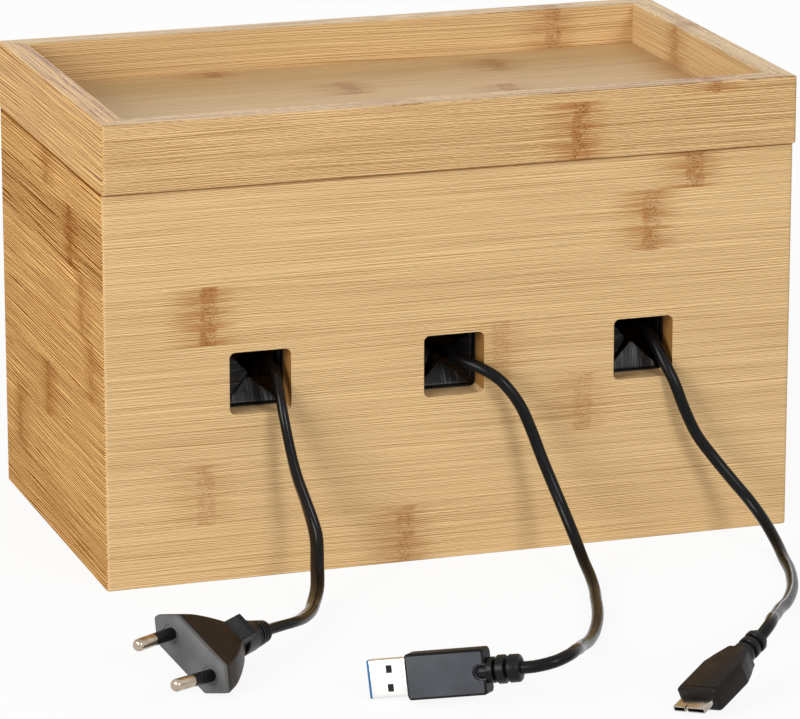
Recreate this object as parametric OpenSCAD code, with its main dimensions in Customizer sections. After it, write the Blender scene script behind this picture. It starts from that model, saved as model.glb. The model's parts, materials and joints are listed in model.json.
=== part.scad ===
// Bamboo cable management box: a five-board box with three cable outlets in its
// front, each closed from behind by a slit rubber insert, and a desk tray as its
// loose lid.  A mains lead and a data cord lie in it, with their plugs outside.
// Millimetres.  Origin at the centre of the footprint, +Z up, outlets on -Y.

/* [Box] */
// Width of the box
box_w = 240; // [220:1:320]
// Depth of the box
box_d = 135; // [130:1:180]
// Height of the box without its tray
box_h = 134; // [120:1:180]
// Thickness of the side boards and the tray rails
board_t = 9; // [7:0.5:9]
// Radius of the upright outer edges
edge_r = 1.2; // [0.5:0.1:2]
// Thickness of the bottom board
bottom_t = 6; // [4:0.5:6]
// Height of the bottom board's top face above the desk
floor_z = 9; // [8:0.5:9]

/* [Tray lid] */
// Height of the tray's rails above the seam
tray_h = 23; // [21:1:40]
// Depth of the tray's hollow
tray_hollow = 14.2; // [8:0.1:14.5]
// How far the tray stands proud of the front and of the back
tray_overhang = 2.5; // [0:0.25:3]
// Thickness of the tray's floor board
tray_floor_t = 6; // [4:0.5:7]
// Width of the battens under the tray
batten_w = 8; // [6:0.5:12]
// How far the battens reach down into the box
batten_reach = 6; // [4:0.5:12]
// Clearance between the battens and the boards
batten_gap = 0.75; // [0.5:0.05:1.5]

/* [Cable outlets] */
// Side of the square outlets
outlet_side = 21; // [21:0.5:24]
// Corner radius of the outlets
outlet_r = 2; // [1:0.25:4]
// Distance between outlet centres
outlet_pitch = 67; // [66:0.5:68]
// Height of the outlet centres above the desk
outlet_z = 67; // [66:0.5:68]

/* [Slit rubber inserts] */
// Side of the insert's square frame
insert_side = 31; // [29:0.5:34]
// Thickness of the insert's frame
insert_t = 1.6; // [1.2:0.1:2]
// Side of the slit square
slit_side = 20; // [19:0.5:20]
// Thickness of a flap
flap_t = 0.8; // [0.6:0.05:1]
// Lean of the left outlet's flaps: bottom, right, top, left
left_lean = [35, 85, 85, 12]; // [10:1:85]
// Lean of the middle outlet's flaps: bottom, right, top, left
middle_lean = [40, 55, 55, 45]; // [10:1:85]
// Lean of the right outlet's flaps: bottom, right, top, left
right_lean = [12, 84, 75, 25]; // [10:1:85]

/* [Mains lead] */
// Diameter of the mains lead's stand-in tube
lead_d = 4.4; // [4:0.1:4.4]
// Distance between the pins at the plug's face
pin_pitch = 18.6; // [18:0.1:19.2]
// Diameter of the plug's pins
pin_d = 4; // [3.9:0.05:4.1]
// Length of the pins
pin_len = 19; // [18.5:0.1:19.5]
// Width of the plug's face
plug_w = 35.3; // [34:0.1:35.5]
// Thickness of the plug's face
plug_t = 12.7; // [12.4:0.1:13]

/* [Data cord] */
// Diameter of the data cord
usb_d = 4; // [3.4:0.1:4]
// Width of the large plug's shell
usb_a_w = 12; // [11.9:0.05:12.1]
// Thickness of the large plug's shell
usb_a_t = 4.5; // [4.4:0.05:4.6]
// Width of the small plug's shell
micro_w = 12.2; // [12:0.05:12.3]
// Thickness of the small plug's shell
micro_t = 1.85; // [1.8:0.05:1.9]

/* [Hidden] */

$fn = 64;
eps = 0.01;
slice = 0.02;

bamboo = "#d2aa72";
rubber_black = "#1c1c1e";
moulded_black = "#26221f";
moulded_grey = "#56585a";

front_y = -box_d / 2;
inner_w = box_w - 2 * board_t;
inner_d = box_d - 2 * board_t;
tray_d = box_d + 2 * tray_overhang;
tray_inner_d = tray_d - 2 * board_t;
tray_top = box_h + tray_h;
tray_floor_top = tray_top - tray_hollow;
batten_top = tray_floor_top - tray_floor_t;
batten_h = batten_top - box_h + batten_reach;

outlet_x = [-outlet_pitch, 0, outlet_pitch];
insert_y = front_y + board_t;
flap_axis_y = insert_y + 1.4;
flap_base = slit_side / 2 - 0.15;
flap_relief = 1.7;
flap_slit = 0.42;
flap_tip = 0.4;
side_turn = [0, -90, 180, 90];

// Placing of the three plugs: the middle of the moulding's front end, and its turn
mains_plug_at = [-121, -170.5, 12];
mains_plug_turn = [34.6, 5.6, 39.5];
usb_a_at = [-60, -201, 8.4];
usb_a_turn = [-10, -10, -35];
micro_at = [20, -240, 4.9];
micro_turn = [-10, -20, 33];

sleeve_len = 10;
sleeve_root = 0.5;
face_t = 1.6;
grip_from = 18.4;
grip_len = 6.7;
grip_w = 8.4;
grip_t = 15.8;
neck_len = 7.5;
relief_len = 8.6;
usb_a_len = 12.6;
usb_a_cover_w = 14.3;
usb_a_cover_t = 8;
usb_a_cover_len = 25.6;
usb_a_relief_len = 10.9;
micro_len = 5.4;
micro_cover_w = 15.6;
micro_cover_t = 7.6;
micro_cover_len = 24;

// Rings of turns on the bottom board: the centre, the mean radius, and how far
// the turns spread sideways and upwards
tie_t = 0.8;
lead_coil_at = [-74, -25];
lead_coil_r = 27;
lead_coil_w = 11;
lead_coil_h = 11.4;
usb_coil_at = [34, -32];
usb_coil_r = 21;
usb_coil_w = 4.2;
usb_coil_h = 12;

// From inside the plug's relief, over the desk and up the front of the box,
// through the left outlet, and down inside on to the coil
lead_path = [
    [-91.2, -145.9, 8.2], [-86.3, -142.5, 7.9], [-82.6, -140.3, 7.7], [-78, -136.9, 7.1],
    [-72.6, -130.2, 5.7], [-66.5, -119.6, 4.3], [-62.5, -110.5, 4], [-58.5, -101.5, 6], [-56, -93.5, 11],
    [-54.5, -87.5, 19], [-56, -83, 28], [-58.5, -79.5, 37.5], [-60, -76.5, 47],
    [-61, -73, 57], [-61, -67.5, 65.5], [-61.2, -60.5, 70.3], [-62, -53, 71.5],
    [-62.5, -45, 70.8], [-63, -38.5, 67], [-63, -33, 58.5], [-61.5, -32.5, 49.5],
    [-58.5, -32.5, 41.5], [-54.5, -31.5, 35], [-50.5, -29, 30], [-48, -24, 26.5],
    [-47.5, -16.5, 25], [-51, -8, 23.5], [-58, -1.5, 22]
];
// From the coil to the connector that lies beside it
tail_path = [
    [-80, -54.5, 12.5], [-73, -55.4, 12.5], [-64, -55, 12.5], [-54.5, -53, 13],
    [-45.5, -51.3, 13.4], [-37, -51, 13.5]
];
// From inside the large plug's relief to the middle outlet and down to the coil
usb_a_path = [
    [-32.5, -220.5, 14.4], [-27.4, -223.7, 15.4], [-21.5, -225.2, 16.8], [-15.8, -222.6, 17.5],
    [-11.6, -217.2, 16.9], [-8.4, -211, 15], [-5, -202.5, 12], [-1.5, -193.5, 9],
    [2.5, -184.5, 6.2], [7.5, -176, 4], [12.5, -167, 2.6], [17, -158, 2],
    [21, -149, 2], [24.5, -139.5, 2], [27.5, -130, 2], [30.5, -120.5, 2.2],
    [32.5, -111, 3.6], [33.5, -102, 6], [33.5, -94, 11], [32, -87.5, 18.5],
    [29.5, -83, 27], [26.5, -80, 36], [23.5, -77.5, 45.5], [20, -75.5, 54],
    [14.5, -73, 61.5], [8.5, -68.5, 65.5], [3.5, -62, 67], [1, -55, 67.8],
    [0.5, -47, 67.5], [1, -39.5, 65], [2, -33, 60], [3.5, -28.5, 52.5],
    [5.5, -24.5, 44.5], [8.5, -20.5, 36.5], [13, -16.5, 29], [19.5, -13, 23],
    [27.5, -11, 20], [36, -11, 19]
];
// From the coil up to the right outlet and down to the small plug's relief
micro_path = [
    [34, -11, 12], [43, -11, 12.5], [51.5, -11.5, 15], [59, -12.5, 20],
    [64.5, -14.5, 27], [68, -17, 35.5], [70, -20, 44.5], [71, -24, 53.5],
    [71, -29.5, 61.5], [71, -36.5, 67.5], [71, -44.5, 71], [71.7, -52.5, 71.5],
    [72.5, -60, 69], [74, -66.5, 63], [77, -71, 55], [80, -73, 46],
    [84, -74.5, 37], [89.5, -76.5, 29], [95, -80, 21.5], [100, -85, 14.5],
    [102.5, -92, 9], [103, -101, 4.5], [101.5, -110.5, 2.4], [99.5, -120, 2],
    [96.5, -129.5, 2], [93, -138.5, 2], [88.5, -147.5, 2.4], [83.5, -156, 3],
    [78, -164, 4], [73, -172.5, 5.2], [68, -181, 7], [64.5, -190, 10],
    [61, -198.5, 13.5], [57.5, -207.5, 17.1], [55, -213, 18.7], [51.5, -218.6, 18.6],
    [46.8, -222.6, 16.5], [43.6, -224.7, 15.1]
];

// ---------------------------------------------------------------- helpers

function unit(v) = v / norm(v);

function tangents(path) = [
    for (i = [0 : len(path) - 1])
        unit(path[min(i + 1, len(path) - 1)] - path[max(i - 1, 0)])
];

// Each ring's sideways direction, carried along the path without twist
function carried(ts, side, i = 0) =
    i == len(ts) ? [] :
    let (n = unit(side - (side * ts[i]) * ts[i])) concat([n], carried(ts, n, i + 1));

// One closed round tube whose rings stand on the points of a path
module cord_tube(path, d, sides, side) {
    ts = tangents(path);
    ns = carried(ts, side);
    last = len(path) - 1;
    points = [
        for (i = [0 : last], k = [0 : sides - 1])
            let (a = 360 * k / sides)
            path[i] + d / 2 * (cos(a) * ns[i] + sin(a) * cross(ts[i], ns[i]))
    ];
    walls = [
        for (i = [0 : last - 1], k = [0 : sides - 1])
            let (a = i * sides + k, b = i * sides + (k + 1) % sides)
            each [[a, a + sides, b], [b, a + sides, b + sides]]
    ];
    near_end = [for (k = [0 : sides - 1]) k];
    far_end = [for (k = [sides - 1 : -1 : 0]) last * sides + k];
    polyhedron(points = points, faces = concat(walls, [near_end, far_end]));
}

module rounded_square(w, d, r) {
    square([w - 2 * r, d], center = true);
    square([w, d - 2 * r], center = true);
    for (x = [-1, 1], y = [-1, 1])
        translate([x * (w / 2 - r), y * (d / 2 - r)]) circle(r);
}

// The plan of one board of a mitred frame: 0 front, 1 right, 2 back, 3 left
module mitred_plan(w, d, side) {
    along = side % 2 == 0 ? w : d;
    half = side % 2 == 0 ? d / 2 : w / 2;
    intersection() {
        rounded_square(w, d, edge_r);
        rotate(90 * side) translate([0, -half])
            polygon([
                [-along / 2, 0], [along / 2, 0],
                [along / 2 - board_t, board_t], [-along / 2 + board_t, board_t]
            ]);
    }
}

module mitred_board(w, d, side, low, high) {
    translate([0, 0, low]) linear_extrude(high - low) mitred_plan(w, d, side);
}

// ---------------------------------------------------------------- the box

module front_board() {
    color(bamboo) difference() {
        mitred_board(box_w, box_d, 0, 0, box_h);
        for (x = outlet_x)
            translate([x, insert_y + 1, outlet_z]) rotate([90, 0, 0])
                linear_extrude(board_t + 2)
                    rounded_square(outlet_side, outlet_side, outlet_r);
    }
}

module side_board(side) {
    color(bamboo) mitred_board(box_w, box_d, side, 0, box_h);
}

module bottom_board() {
    color(bamboo) translate([-inner_w / 2, -inner_d / 2, floor_z - bottom_t])
        cube([inner_w, inner_d, bottom_t]);
}

// --------------------------------------------------------------- the tray

module tray_rail(side) {
    color(bamboo) mitred_board(box_w, tray_d, side, box_h, tray_top);
}

module tray_floor() {
    color(bamboo) translate([-inner_w / 2, -tray_inner_d / 2, batten_top])
        cube([inner_w, tray_inner_d, tray_floor_t]);
}

module tray_long_battens() {
    length = inner_w - 2 * batten_gap;
    reach = inner_d / 2 - batten_gap;
    color(bamboo) for (y = [-reach, reach - batten_w])
        translate([-length / 2, y, batten_top - batten_h])
            cube([length, batten_w, batten_h]);
}

module tray_short_battens() {
    length = inner_d - 2 * batten_gap - 2 * batten_w;
    reach = inner_w / 2 - batten_gap;
    color(bamboo) for (x = [-reach, reach - batten_w])
        translate([x, -length / 2, batten_top - batten_h])
            cube([batten_w, length, batten_h]);
}

// ------------------------------------------------------- slit rubber inserts

module outlet_frame(i) {
    color(rubber_black) translate([outlet_x[i], insert_y + insert_t, outlet_z])
        rotate([90, 0, 0]) linear_extrude(insert_t) difference() {
            rounded_square(insert_side, insert_side, outlet_r);
            square(slit_side, center = true);
        }
}

// One of the four flaps between the slits, hinged on the back edge of its base
module outlet_flap(i, side, lean) {
    wide = flap_base - flap_relief;
    reach = flap_base - flap_slit - flap_tip;
    step = flap_relief - flap_slit;
    color(rubber_black) translate([outlet_x[i], flap_axis_y, outlet_z])
        rotate([0, side_turn[side], 0]) translate([0, 0, -flap_base])
            rotate([90 - lean, 0, 0]) linear_extrude(flap_t)
                polygon([
                    [-wide, 0], [wide, 0], [wide, step], [flap_tip, reach],
                    [-flap_tip, reach], [-wide, step]
                ]);
}

// ------------------------------------------------------------- mains plug

module at_mains_plug() {
    translate(mains_plug_at) rotate(mains_plug_turn) children();
}

// The six-cornered outline of the plug, seen along its pins
module plug_outline(w, t) {
    flat = (w - t) / 2;
    polygon([
        [w / 2, 0.4], [flat, t / 2], [-flat, t / 2],
        [-w / 2, 0.4], [-w / 2, -0.4], [-flat, -t / 2], [flat, -t / 2], [w / 2, -0.4]
    ]);
}

// A thin slice of the plug: its distance from the face, its width and its thickness
module plug_slice(place) {
    translate([place[0], 0, 0]) rotate([90, 0, 90]) linear_extrude(slice)
        plug_outline(place[1], place[2]);
}

module plug_taper(places) {
    for (i = [0 : len(places) - 2])
        hull() {
            plug_slice(places[i]);
            plug_slice(places[i + 1]);
        }
}

module mains_plug_face() {
    color(moulded_grey) at_mains_plug() rotate([90, 0, 90])
        linear_extrude(face_t) plug_outline(plug_w - 0.6, plug_t - 0.6);
}

module mains_plug_body() {
    color(moulded_black) at_mains_plug() plug_taper([
        [face_t, plug_w, plug_t], [8, plug_w - 3.5, plug_t - 0.2],
        [15, plug_w - 10.2, plug_t - 0.5], [grip_from - slice, 21, plug_t - 0.8]
    ]);
}

// The plug's waist, with the thumb grip that ramps up from it
module mains_plug_grip() {
    end = grip_from + grip_len;
    color(moulded_black) at_mains_plug() {
        plug_taper([[grip_from, 21, plug_t - 0.8], [end - slice, 11.6, 11]]);
        hull() for (place = [[grip_from, plug_t - 1], [end - slice, grip_t]])
            translate([place[0], -grip_w / 2, -place[1] / 2]) cube([slice, grip_w, place[1]]);
    }
}

// A ribbed sleeve along X, with rings that grow towards the plug
module ringed_relief(length, near_r, far_r, core_r, rings) {
    pitch = length / rings;
    rotate([0, 90, 0]) rotate_extrude() polygon(concat(
        [[0, 0]],
        [for (k = [0 : rings - 1], p = [[0, 0], [0.68, 0], [0.68, 1], [1, 1]])
            let (r = near_r + (far_r - near_r) * (k + 0.5) / rings)
            [p[1] == 1 ? core_r : r, (k + p[0]) * pitch]],
        [[0, length]]
    ));
}

module mains_plug_relief() {
    color(moulded_black) at_mains_plug() translate([grip_from + grip_len, 0, 0]) {
        rotate([0, 90, 0]) cylinder(h = neck_len + eps, r1 = 5.9, r2 = 5);
        translate([neck_len, 0, 0]) ringed_relief(relief_len, 4.9, 3.5, 3, 4);
    }
}

// Where the two pins stand: their bases lie further apart than their tips
module at_pins() {
    at_mains_plug() for (y = [-1, 1])
        translate([0, y * pin_pitch / 2, 0]) rotate([0, 0, y * 1.5]) children();
}

module mains_pins() {
    tip = 1.4;
    color("silver") at_pins() rotate([0, -90, 0]) rotate_extrude() union() {
        translate([0, sleeve_len]) square([pin_d / 2, pin_len - sleeve_len - tip]);
        translate([0, pin_len - tip - eps]) square([pin_d / 2 - tip, tip + eps]);
        intersection() {
            translate([pin_d / 2 - tip, pin_len - tip]) circle(tip);
            translate([0, pin_len - tip - eps]) square([pin_d, tip + 1]);
        }
    }
}

module mains_pin_sleeves() {
    color(rubber_black) at_pins() rotate([0, -90, 0]) translate([0, 0, -sleeve_root])
        cylinder(d = pin_d, h = sleeve_len + sleeve_root);
}

module mains_lead() {
    color(rubber_black) cord_tube(lead_path, lead_d, 10, [0, 0, 1]);
}

module mains_lead_tail() {
    color(rubber_black) cord_tube(tail_path, lead_d, 10, [0, 0, 1]);
}

// --------------------------------------------------- coils, ties, connector

// The section through a ring of turns or its tie: its width, its height and its lower edge
module coil_section(w, h, low) {
    translate([-w / 2, low]) square([w, h]);
}

module coil(at, r, w, h) {
    translate([at[0], at[1], floor_z + tie_t]) rotate_extrude()
        translate([r, 0]) coil_section(w, h, 0);
}

module coil_tie(at, r, w, h, angle, turn) {
    translate([at[0], at[1], floor_z + tie_t]) rotate([0, 0, turn])
        rotate_extrude(angle = angle) translate([r, 0]) difference() {
            coil_section(w + 2 * tie_t, h + 2 * tie_t, -tie_t);
            coil_section(w, h, 0);
        }
}

module mains_lead_coil() {
    color(rubber_black) coil(lead_coil_at, lead_coil_r, lead_coil_w, lead_coil_h);
}

module mains_lead_tie() {
    color(moulded_grey)
        coil_tie(lead_coil_at, lead_coil_r, lead_coil_w, lead_coil_h, 20, 170);
}

module usb_cord_coil() {
    color(rubber_black) coil(usb_coil_at, usb_coil_r, usb_coil_w, usb_coil_h);
}

module usb_cord_tie() {
    color(moulded_grey)
        coil_tie(usb_coil_at, usb_coil_r, usb_coil_w, usb_coil_h, 24, 258);
}

// The two-pole connector for the appliance, on the bottom board
module appliance_connector() {
    color(moulded_black) translate([-38, -51, floor_z]) {
        difference() {
            translate([8, -7.2, 0]) cube([24, 14.4, 9]);
            for (y = [-3.4, 3.4])
                translate([24, y, 4.5]) rotate([0, 90, 0]) cylinder(d = 3.4, h = 9);
        }
        translate([0, -3.4, 1.1]) cube([8, 6.8, 6.8]);
    }
}

// ------------------------------------------------------------- large USB plug

module at_usb_a() {
    translate(usb_a_at) rotate(usb_a_turn) children();
}

module usb_a_shell() {
    wall = 0.3;
    color("silver") at_usb_a() difference() {
        translate([-usb_a_len, -usb_a_t / 2, -usb_a_w / 2])
            cube([usb_a_len, usb_a_t, usb_a_w]);
        translate([-usb_a_len - 1, -usb_a_t / 2 + wall, -usb_a_w / 2 + wall])
            cube([usb_a_len, usb_a_t - 2 * wall, usb_a_w - 2 * wall]);
        for (z = [-3.6, 1.8])
            translate([-6.4, -usb_a_t, z]) cube([1.8, 2 * usb_a_t, 1.8]);
    }
}

module usb_a_tongue() {
    color("#2f6f9f") at_usb_a()
        translate([-usb_a_len + 0.4, 0.05, -usb_a_w / 2 + 0.3])
            cube([usb_a_len - 1.4, usb_a_t / 2 - 0.35, usb_a_w - 0.6]);
}

module usb_a_contacts() {
    color("gold") at_usb_a() for (z = [-3.5, -1, 1, 3.5])
        translate([-usb_a_len + 1.6, -0.1, z - 0.5]) cube([8, 0.15, 1]);
}

module usb_a_cover() {
    bevel = 1;
    color(moulded_grey) at_usb_a() difference() {
        hull() {
            translate([0, -usb_a_cover_t / 2, -usb_a_cover_w / 2 + bevel])
                cube([usb_a_cover_len, usb_a_cover_t, usb_a_cover_w - 2 * bevel]);
            translate([0, -usb_a_cover_t / 2 + bevel, -usb_a_cover_w / 2])
                cube([usb_a_cover_len, usb_a_cover_t - 2 * bevel, usb_a_cover_w]);
        }
        for (y = [-1, 1])
            translate([usb_a_cover_len - 5.4, y * usb_a_cover_t / 2 - 0.3, -2.6])
                cube([6, 0.6, 5.2]);
    }
}

module usb_a_relief() {
    color(moulded_black) at_usb_a() translate([usb_a_cover_len, 0, 0])
        ringed_relief(usb_a_relief_len, 4.5, 4.3, 2.9, 3);
}

module usb_cord_to_a() {
    color(rubber_black) cord_tube(usb_a_path, usb_d, 8, [0, 0, 1]);
}

module usb_cord_to_micro() {
    color(rubber_black) cord_tube(micro_path, usb_d, 8, [0, 0, 1]);
}

// ------------------------------------------------------------- small USB plug

module at_micro() {
    translate(micro_at) rotate(micro_turn) children();
}

module micro_shell() {
    color("silver") at_micro() difference() {
        translate([-micro_len, -micro_w / 2, -micro_t / 2])
            cube([micro_len, micro_w, micro_t]);
        translate([-micro_len - 1, 0.75, -micro_t / 2 - 1]) cube([2.4, 0.7, micro_t + 2]);
        for (part = [[-5.8, 6.3], [1.7, 4.1]])
            translate([-micro_len - 1, part[0], -0.6]) cube([4.4, part[1], 1.2]);
    }
}

module micro_cover() {
    half = micro_cover_w / 2;
    color(moulded_black) at_micro() translate([0, 0, -micro_cover_t / 2])
        linear_extrude(micro_cover_t) polygon([
            [0, -half], [15, -half], [19, -half + 1.4], [micro_cover_len, -4.2],
            [micro_cover_len, 4.2], [19, half - 1.4], [15, half], [0, half]
        ]);
}

module micro_relief() {
    color(moulded_black) at_micro() translate([micro_cover_len, 0, 0])
        ringed_relief(10, 3.7, 3.7, 2.9, 3);
}

// ---------------------------------------------------------------- the nodes

front_board();
side_board(2);  // back_board
side_board(3);  // left_board
side_board(1);  // right_board
bottom_board();

tray_rail(0);  // tray_front_rail
tray_rail(2);  // tray_back_rail
tray_rail(3);  // tray_left_rail
tray_rail(1);  // tray_right_rail
tray_floor();
tray_long_battens();
tray_short_battens();

outlet_frame(0);  // left_outlet_frame
outlet_frame(1);  // middle_outlet_frame
outlet_frame(2);  // right_outlet_frame

outlet_flap(0, 0, left_lean[0]);  // left_outlet_flap_bottom
outlet_flap(0, 1, left_lean[1]);  // left_outlet_flap_right
outlet_flap(0, 2, left_lean[2]);  // left_outlet_flap_top
outlet_flap(0, 3, left_lean[3]);  // left_outlet_flap_left
outlet_flap(1, 0, middle_lean[0]);  // middle_outlet_flap_bottom
outlet_flap(1, 1, middle_lean[1]);  // middle_outlet_flap_right
outlet_flap(1, 2, middle_lean[2]);  // middle_outlet_flap_top
outlet_flap(1, 3, middle_lean[3]);  // middle_outlet_flap_left
outlet_flap(2, 0, right_lean[0]);  // right_outlet_flap_bottom
outlet_flap(2, 1, right_lean[1]);  // right_outlet_flap_right
outlet_flap(2, 2, right_lean[2]);  // right_outlet_flap_top
outlet_flap(2, 3, right_lean[3]);  // right_outlet_flap_left

mains_plug_face();
mains_plug_body();
mains_plug_grip();
mains_plug_relief();
mains_pins();
mains_pin_sleeves();
mains_lead();
mains_lead_coil();
mains_lead_tail();
mains_lead_tie();
appliance_connector();

usb_a_shell();
usb_a_tongue();
usb_a_contacts();
usb_a_cover();
usb_a_relief();
usb_cord_to_a();
usb_cord_coil();
usb_cord_tie();
usb_cord_to_micro();
micro_shell();
micro_cover();
micro_relief();
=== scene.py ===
"""A bamboo cable box with a lift-off desk tray, slit rubber outlets, a mains lead and a data cord."""

import json
import logging
import math
from collections.abc import Callable, Iterable, Sequence
from dataclasses import dataclass, field
from enum import Enum
from typing import NamedTuple

import bmesh
import bpy
from mathutils import Euler, Matrix, Vector, noise

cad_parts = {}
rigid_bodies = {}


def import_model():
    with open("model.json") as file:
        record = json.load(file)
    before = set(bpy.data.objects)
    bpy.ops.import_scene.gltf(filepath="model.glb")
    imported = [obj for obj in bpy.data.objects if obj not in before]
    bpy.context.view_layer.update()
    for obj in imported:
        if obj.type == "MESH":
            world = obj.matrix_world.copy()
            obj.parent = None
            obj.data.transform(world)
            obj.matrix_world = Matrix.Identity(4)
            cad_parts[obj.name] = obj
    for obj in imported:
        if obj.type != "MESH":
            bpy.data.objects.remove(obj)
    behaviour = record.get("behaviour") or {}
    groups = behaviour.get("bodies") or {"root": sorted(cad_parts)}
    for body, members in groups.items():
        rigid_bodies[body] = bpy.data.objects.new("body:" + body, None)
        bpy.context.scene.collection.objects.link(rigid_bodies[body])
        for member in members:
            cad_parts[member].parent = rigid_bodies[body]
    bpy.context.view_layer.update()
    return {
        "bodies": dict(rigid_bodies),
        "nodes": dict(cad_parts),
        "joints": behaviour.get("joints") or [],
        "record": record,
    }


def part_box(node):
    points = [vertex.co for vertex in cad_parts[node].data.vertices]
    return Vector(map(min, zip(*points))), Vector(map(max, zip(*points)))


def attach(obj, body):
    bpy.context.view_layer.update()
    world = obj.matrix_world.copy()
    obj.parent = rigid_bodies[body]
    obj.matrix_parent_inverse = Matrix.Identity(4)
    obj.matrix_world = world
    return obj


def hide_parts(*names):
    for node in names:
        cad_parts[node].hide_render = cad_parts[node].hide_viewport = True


LOG = logging.getLogger("cable_box")
MM = 0.001
BOX_BODY = "box"
TRAY_BODY = "tray"
RECORD_SLOTS = {
    "plug_body": "moulded_black", "plug_face": "moulded_grey", "cover_grey": "moulded_grey",
    "small_cover": "moulded_black", "small_steel": "shell_steel",
}

Point2 = tuple[float, float]
Point3 = tuple[float, float, float]
Socket = bpy.types.NodeSocket
Sockets = bpy.types.bpy_prop_collection
Value = Socket | float | Sequence[float]
Inputs = dict[str, tuple[str, Value]]
Finishes = dict[str, bpy.types.Material]


# ---------------------------------------------------------------- named choices


class Grain(Enum):
    """Which way a board's fibres run: the axes along the grain, across the strips and into the board."""

    UPRIGHT_X = "XZY"
    UPRIGHT_Y = "YZX"
    FLAT_X = "XYZ"
    FLAT_Y = "YXZ"


class Side(Enum):
    """A flap's side of its outlet, with the flap's turn about the outlet's middle in degrees."""

    BOTTOM = 0
    RIGHT = -90
    TOP = 180
    LEFT = 90


# ---------------------------------------------------------------- shader wiring


def tint(code: str) -> tuple[float, float, float, float]:
    """Turn a screen colour into the renderer's linear one.

    Args:
        code: the colour as "#rrggbb".

    Returns:
        Red, green, blue and alpha, linear.
    """
    parts = [int(code[i : i + 2], 16) / 255 for i in (1, 3, 5)]
    red, green, blue = (p / 12.92 if p <= 0.04045 else ((p + 0.055) / 1.055) ** 2.4 for p in parts)
    return red, green, blue, 1.0


class Wiring:
    """Adds nodes to one node tree and joins them."""

    def __init__(self, tree: bpy.types.NodeTree) -> None:
        """Keep the tree that gets the nodes."""
        self.tree = tree

    def add(
        self, kind: str, feeds: dict[int | str, Value] | None = None, **settings: object
    ) -> bpy.types.Node:
        """Add one node.

        Args:
            kind: the node's type, without Blender's own prefix for shader nodes.
            feeds: what goes into its inputs, by name or number: a socket, a number or a colour.
            settings: its properties.

        Returns:
            The new node.
        """
        node = self.tree.nodes.new(kind if kind.startswith("NodeGroup") else "ShaderNode" + kind)
        for label, setting in settings.items():
            setattr(node, label, setting)
        for label, value in (feeds or {}).items():
            if isinstance(value, Socket):
                self.tree.links.new(value, node.inputs[label])
            else:
                node.inputs[label].default_value = value
        return node

    def math(self, operation: str, *values: Value) -> Socket:
        """Work out one sum with a Math node and return its result."""
        return self.add("Math", dict(enumerate(values)), operation=operation).outputs[0]

    def ease(self, value: Value, low: float, high: float, start: float = 0.0, end: float = 1.0) -> Socket:
        """Lead a value smoothly from start at low to end at high."""
        feeds = {"Value": value, "From Min": low, "From Max": high, "To Min": start, "To Max": end}
        return self.add("MapRange", feeds, interpolation_type="SMOOTHSTEP").outputs["Result"]

    def mix(self, share: Value, first: Value, second: Value, blend: str = "MIX") -> Socket:
        """Blend the second colour over the first by a share."""
        feeds = {0: share, 6: first, 7: second}
        return self.add("Mix", feeds, data_type="RGBA", blend_type=blend).outputs[2]

    def stretched(self, place: Value, stretch: Point3) -> Socket:
        """Scale a place by a number for each axis."""
        return self.add("VectorMath", {0: place, 1: stretch}, operation="MULTIPLY").outputs[0]

    def noise(self, place: Value, stretch: Point3, detail: float = 1.0, rough: float = 0.5) -> Socket:
        """Read smooth noise whose features are one over the stretch long on each axis."""
        feeds = {"Vector": self.stretched(place, stretch), "Scale": 1.0, "Detail": detail, "Roughness": rough}
        return self.add("TexNoise", feeds).outputs[0]

    def contrast(self, first: Value, second: Value, stretch: Point3) -> Socket:
        """Read the difference of a noise between two places, which leaves out its broad swells."""
        return self.math("SUBTRACT", self.noise(first, stretch), self.noise(second, stretch))

    def stirred(self, start: Value, *noises: tuple[Socket, Value]) -> Value:
        """Add noises to a value, each about its middle.

        Args:
            start: the value.
            noises: each noise with its weight.

        Returns:
            The stirred value.
        """
        for source, weight in noises:
            start = self.math("MULTIPLY_ADD", self.math("SUBTRACT", source, 0.5), weight, start)
        return start

    def axes(self, place: Value) -> tuple[Socket, Socket, Socket]:
        """Split a place into its three numbers."""
        parts = self.add("SeparateXYZ", {0: place}).outputs
        return parts[0], parts[1], parts[2]

    def joined(self, x: Value, y: Value, z: Value) -> Socket:
        """Join three numbers into a place."""
        return self.add("CombineXYZ", {0: x, 1: y, 2: z}).outputs[0]


@dataclass
class Effect:
    """A shader node group that several finishes share: a colour, a height and a roughness over a surface.

    Its build wires the group's inside from its inputs and returns a socket for each output. Its inputs give
    each input's socket type and value, by name.
    """

    name: str
    build: Callable[[Wiring, Sockets], dict[str, Socket]]
    inputs: Inputs
    made: bpy.types.NodeTree | None = None

    def tree(self) -> bpy.types.NodeTree:
        """Give the group's tree, and make it at the first call.

        Returns:
            The tree.
        """
        if self.made is None:
            self.made = bpy.data.node_groups.new(self.name, "ShaderNodeTree")
            sockets = self.made.interface
            for label, (kind, value) in self.inputs.items():
                socket = sockets.new_socket(label, in_out="INPUT", socket_type="NodeSocket" + kind)
                socket.default_value = value
            for label, kind in (("Color", "Color"), ("Height", "Float"), ("Roughness", "Float")):
                sockets.new_socket(label, in_out="OUTPUT", socket_type="NodeSocket" + kind)
            wiring = Wiring(self.made)
            wiring.add("NodeGroupOutput", self.build(wiring, wiring.add("NodeGroupInput").outputs))
        return self.made


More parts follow.
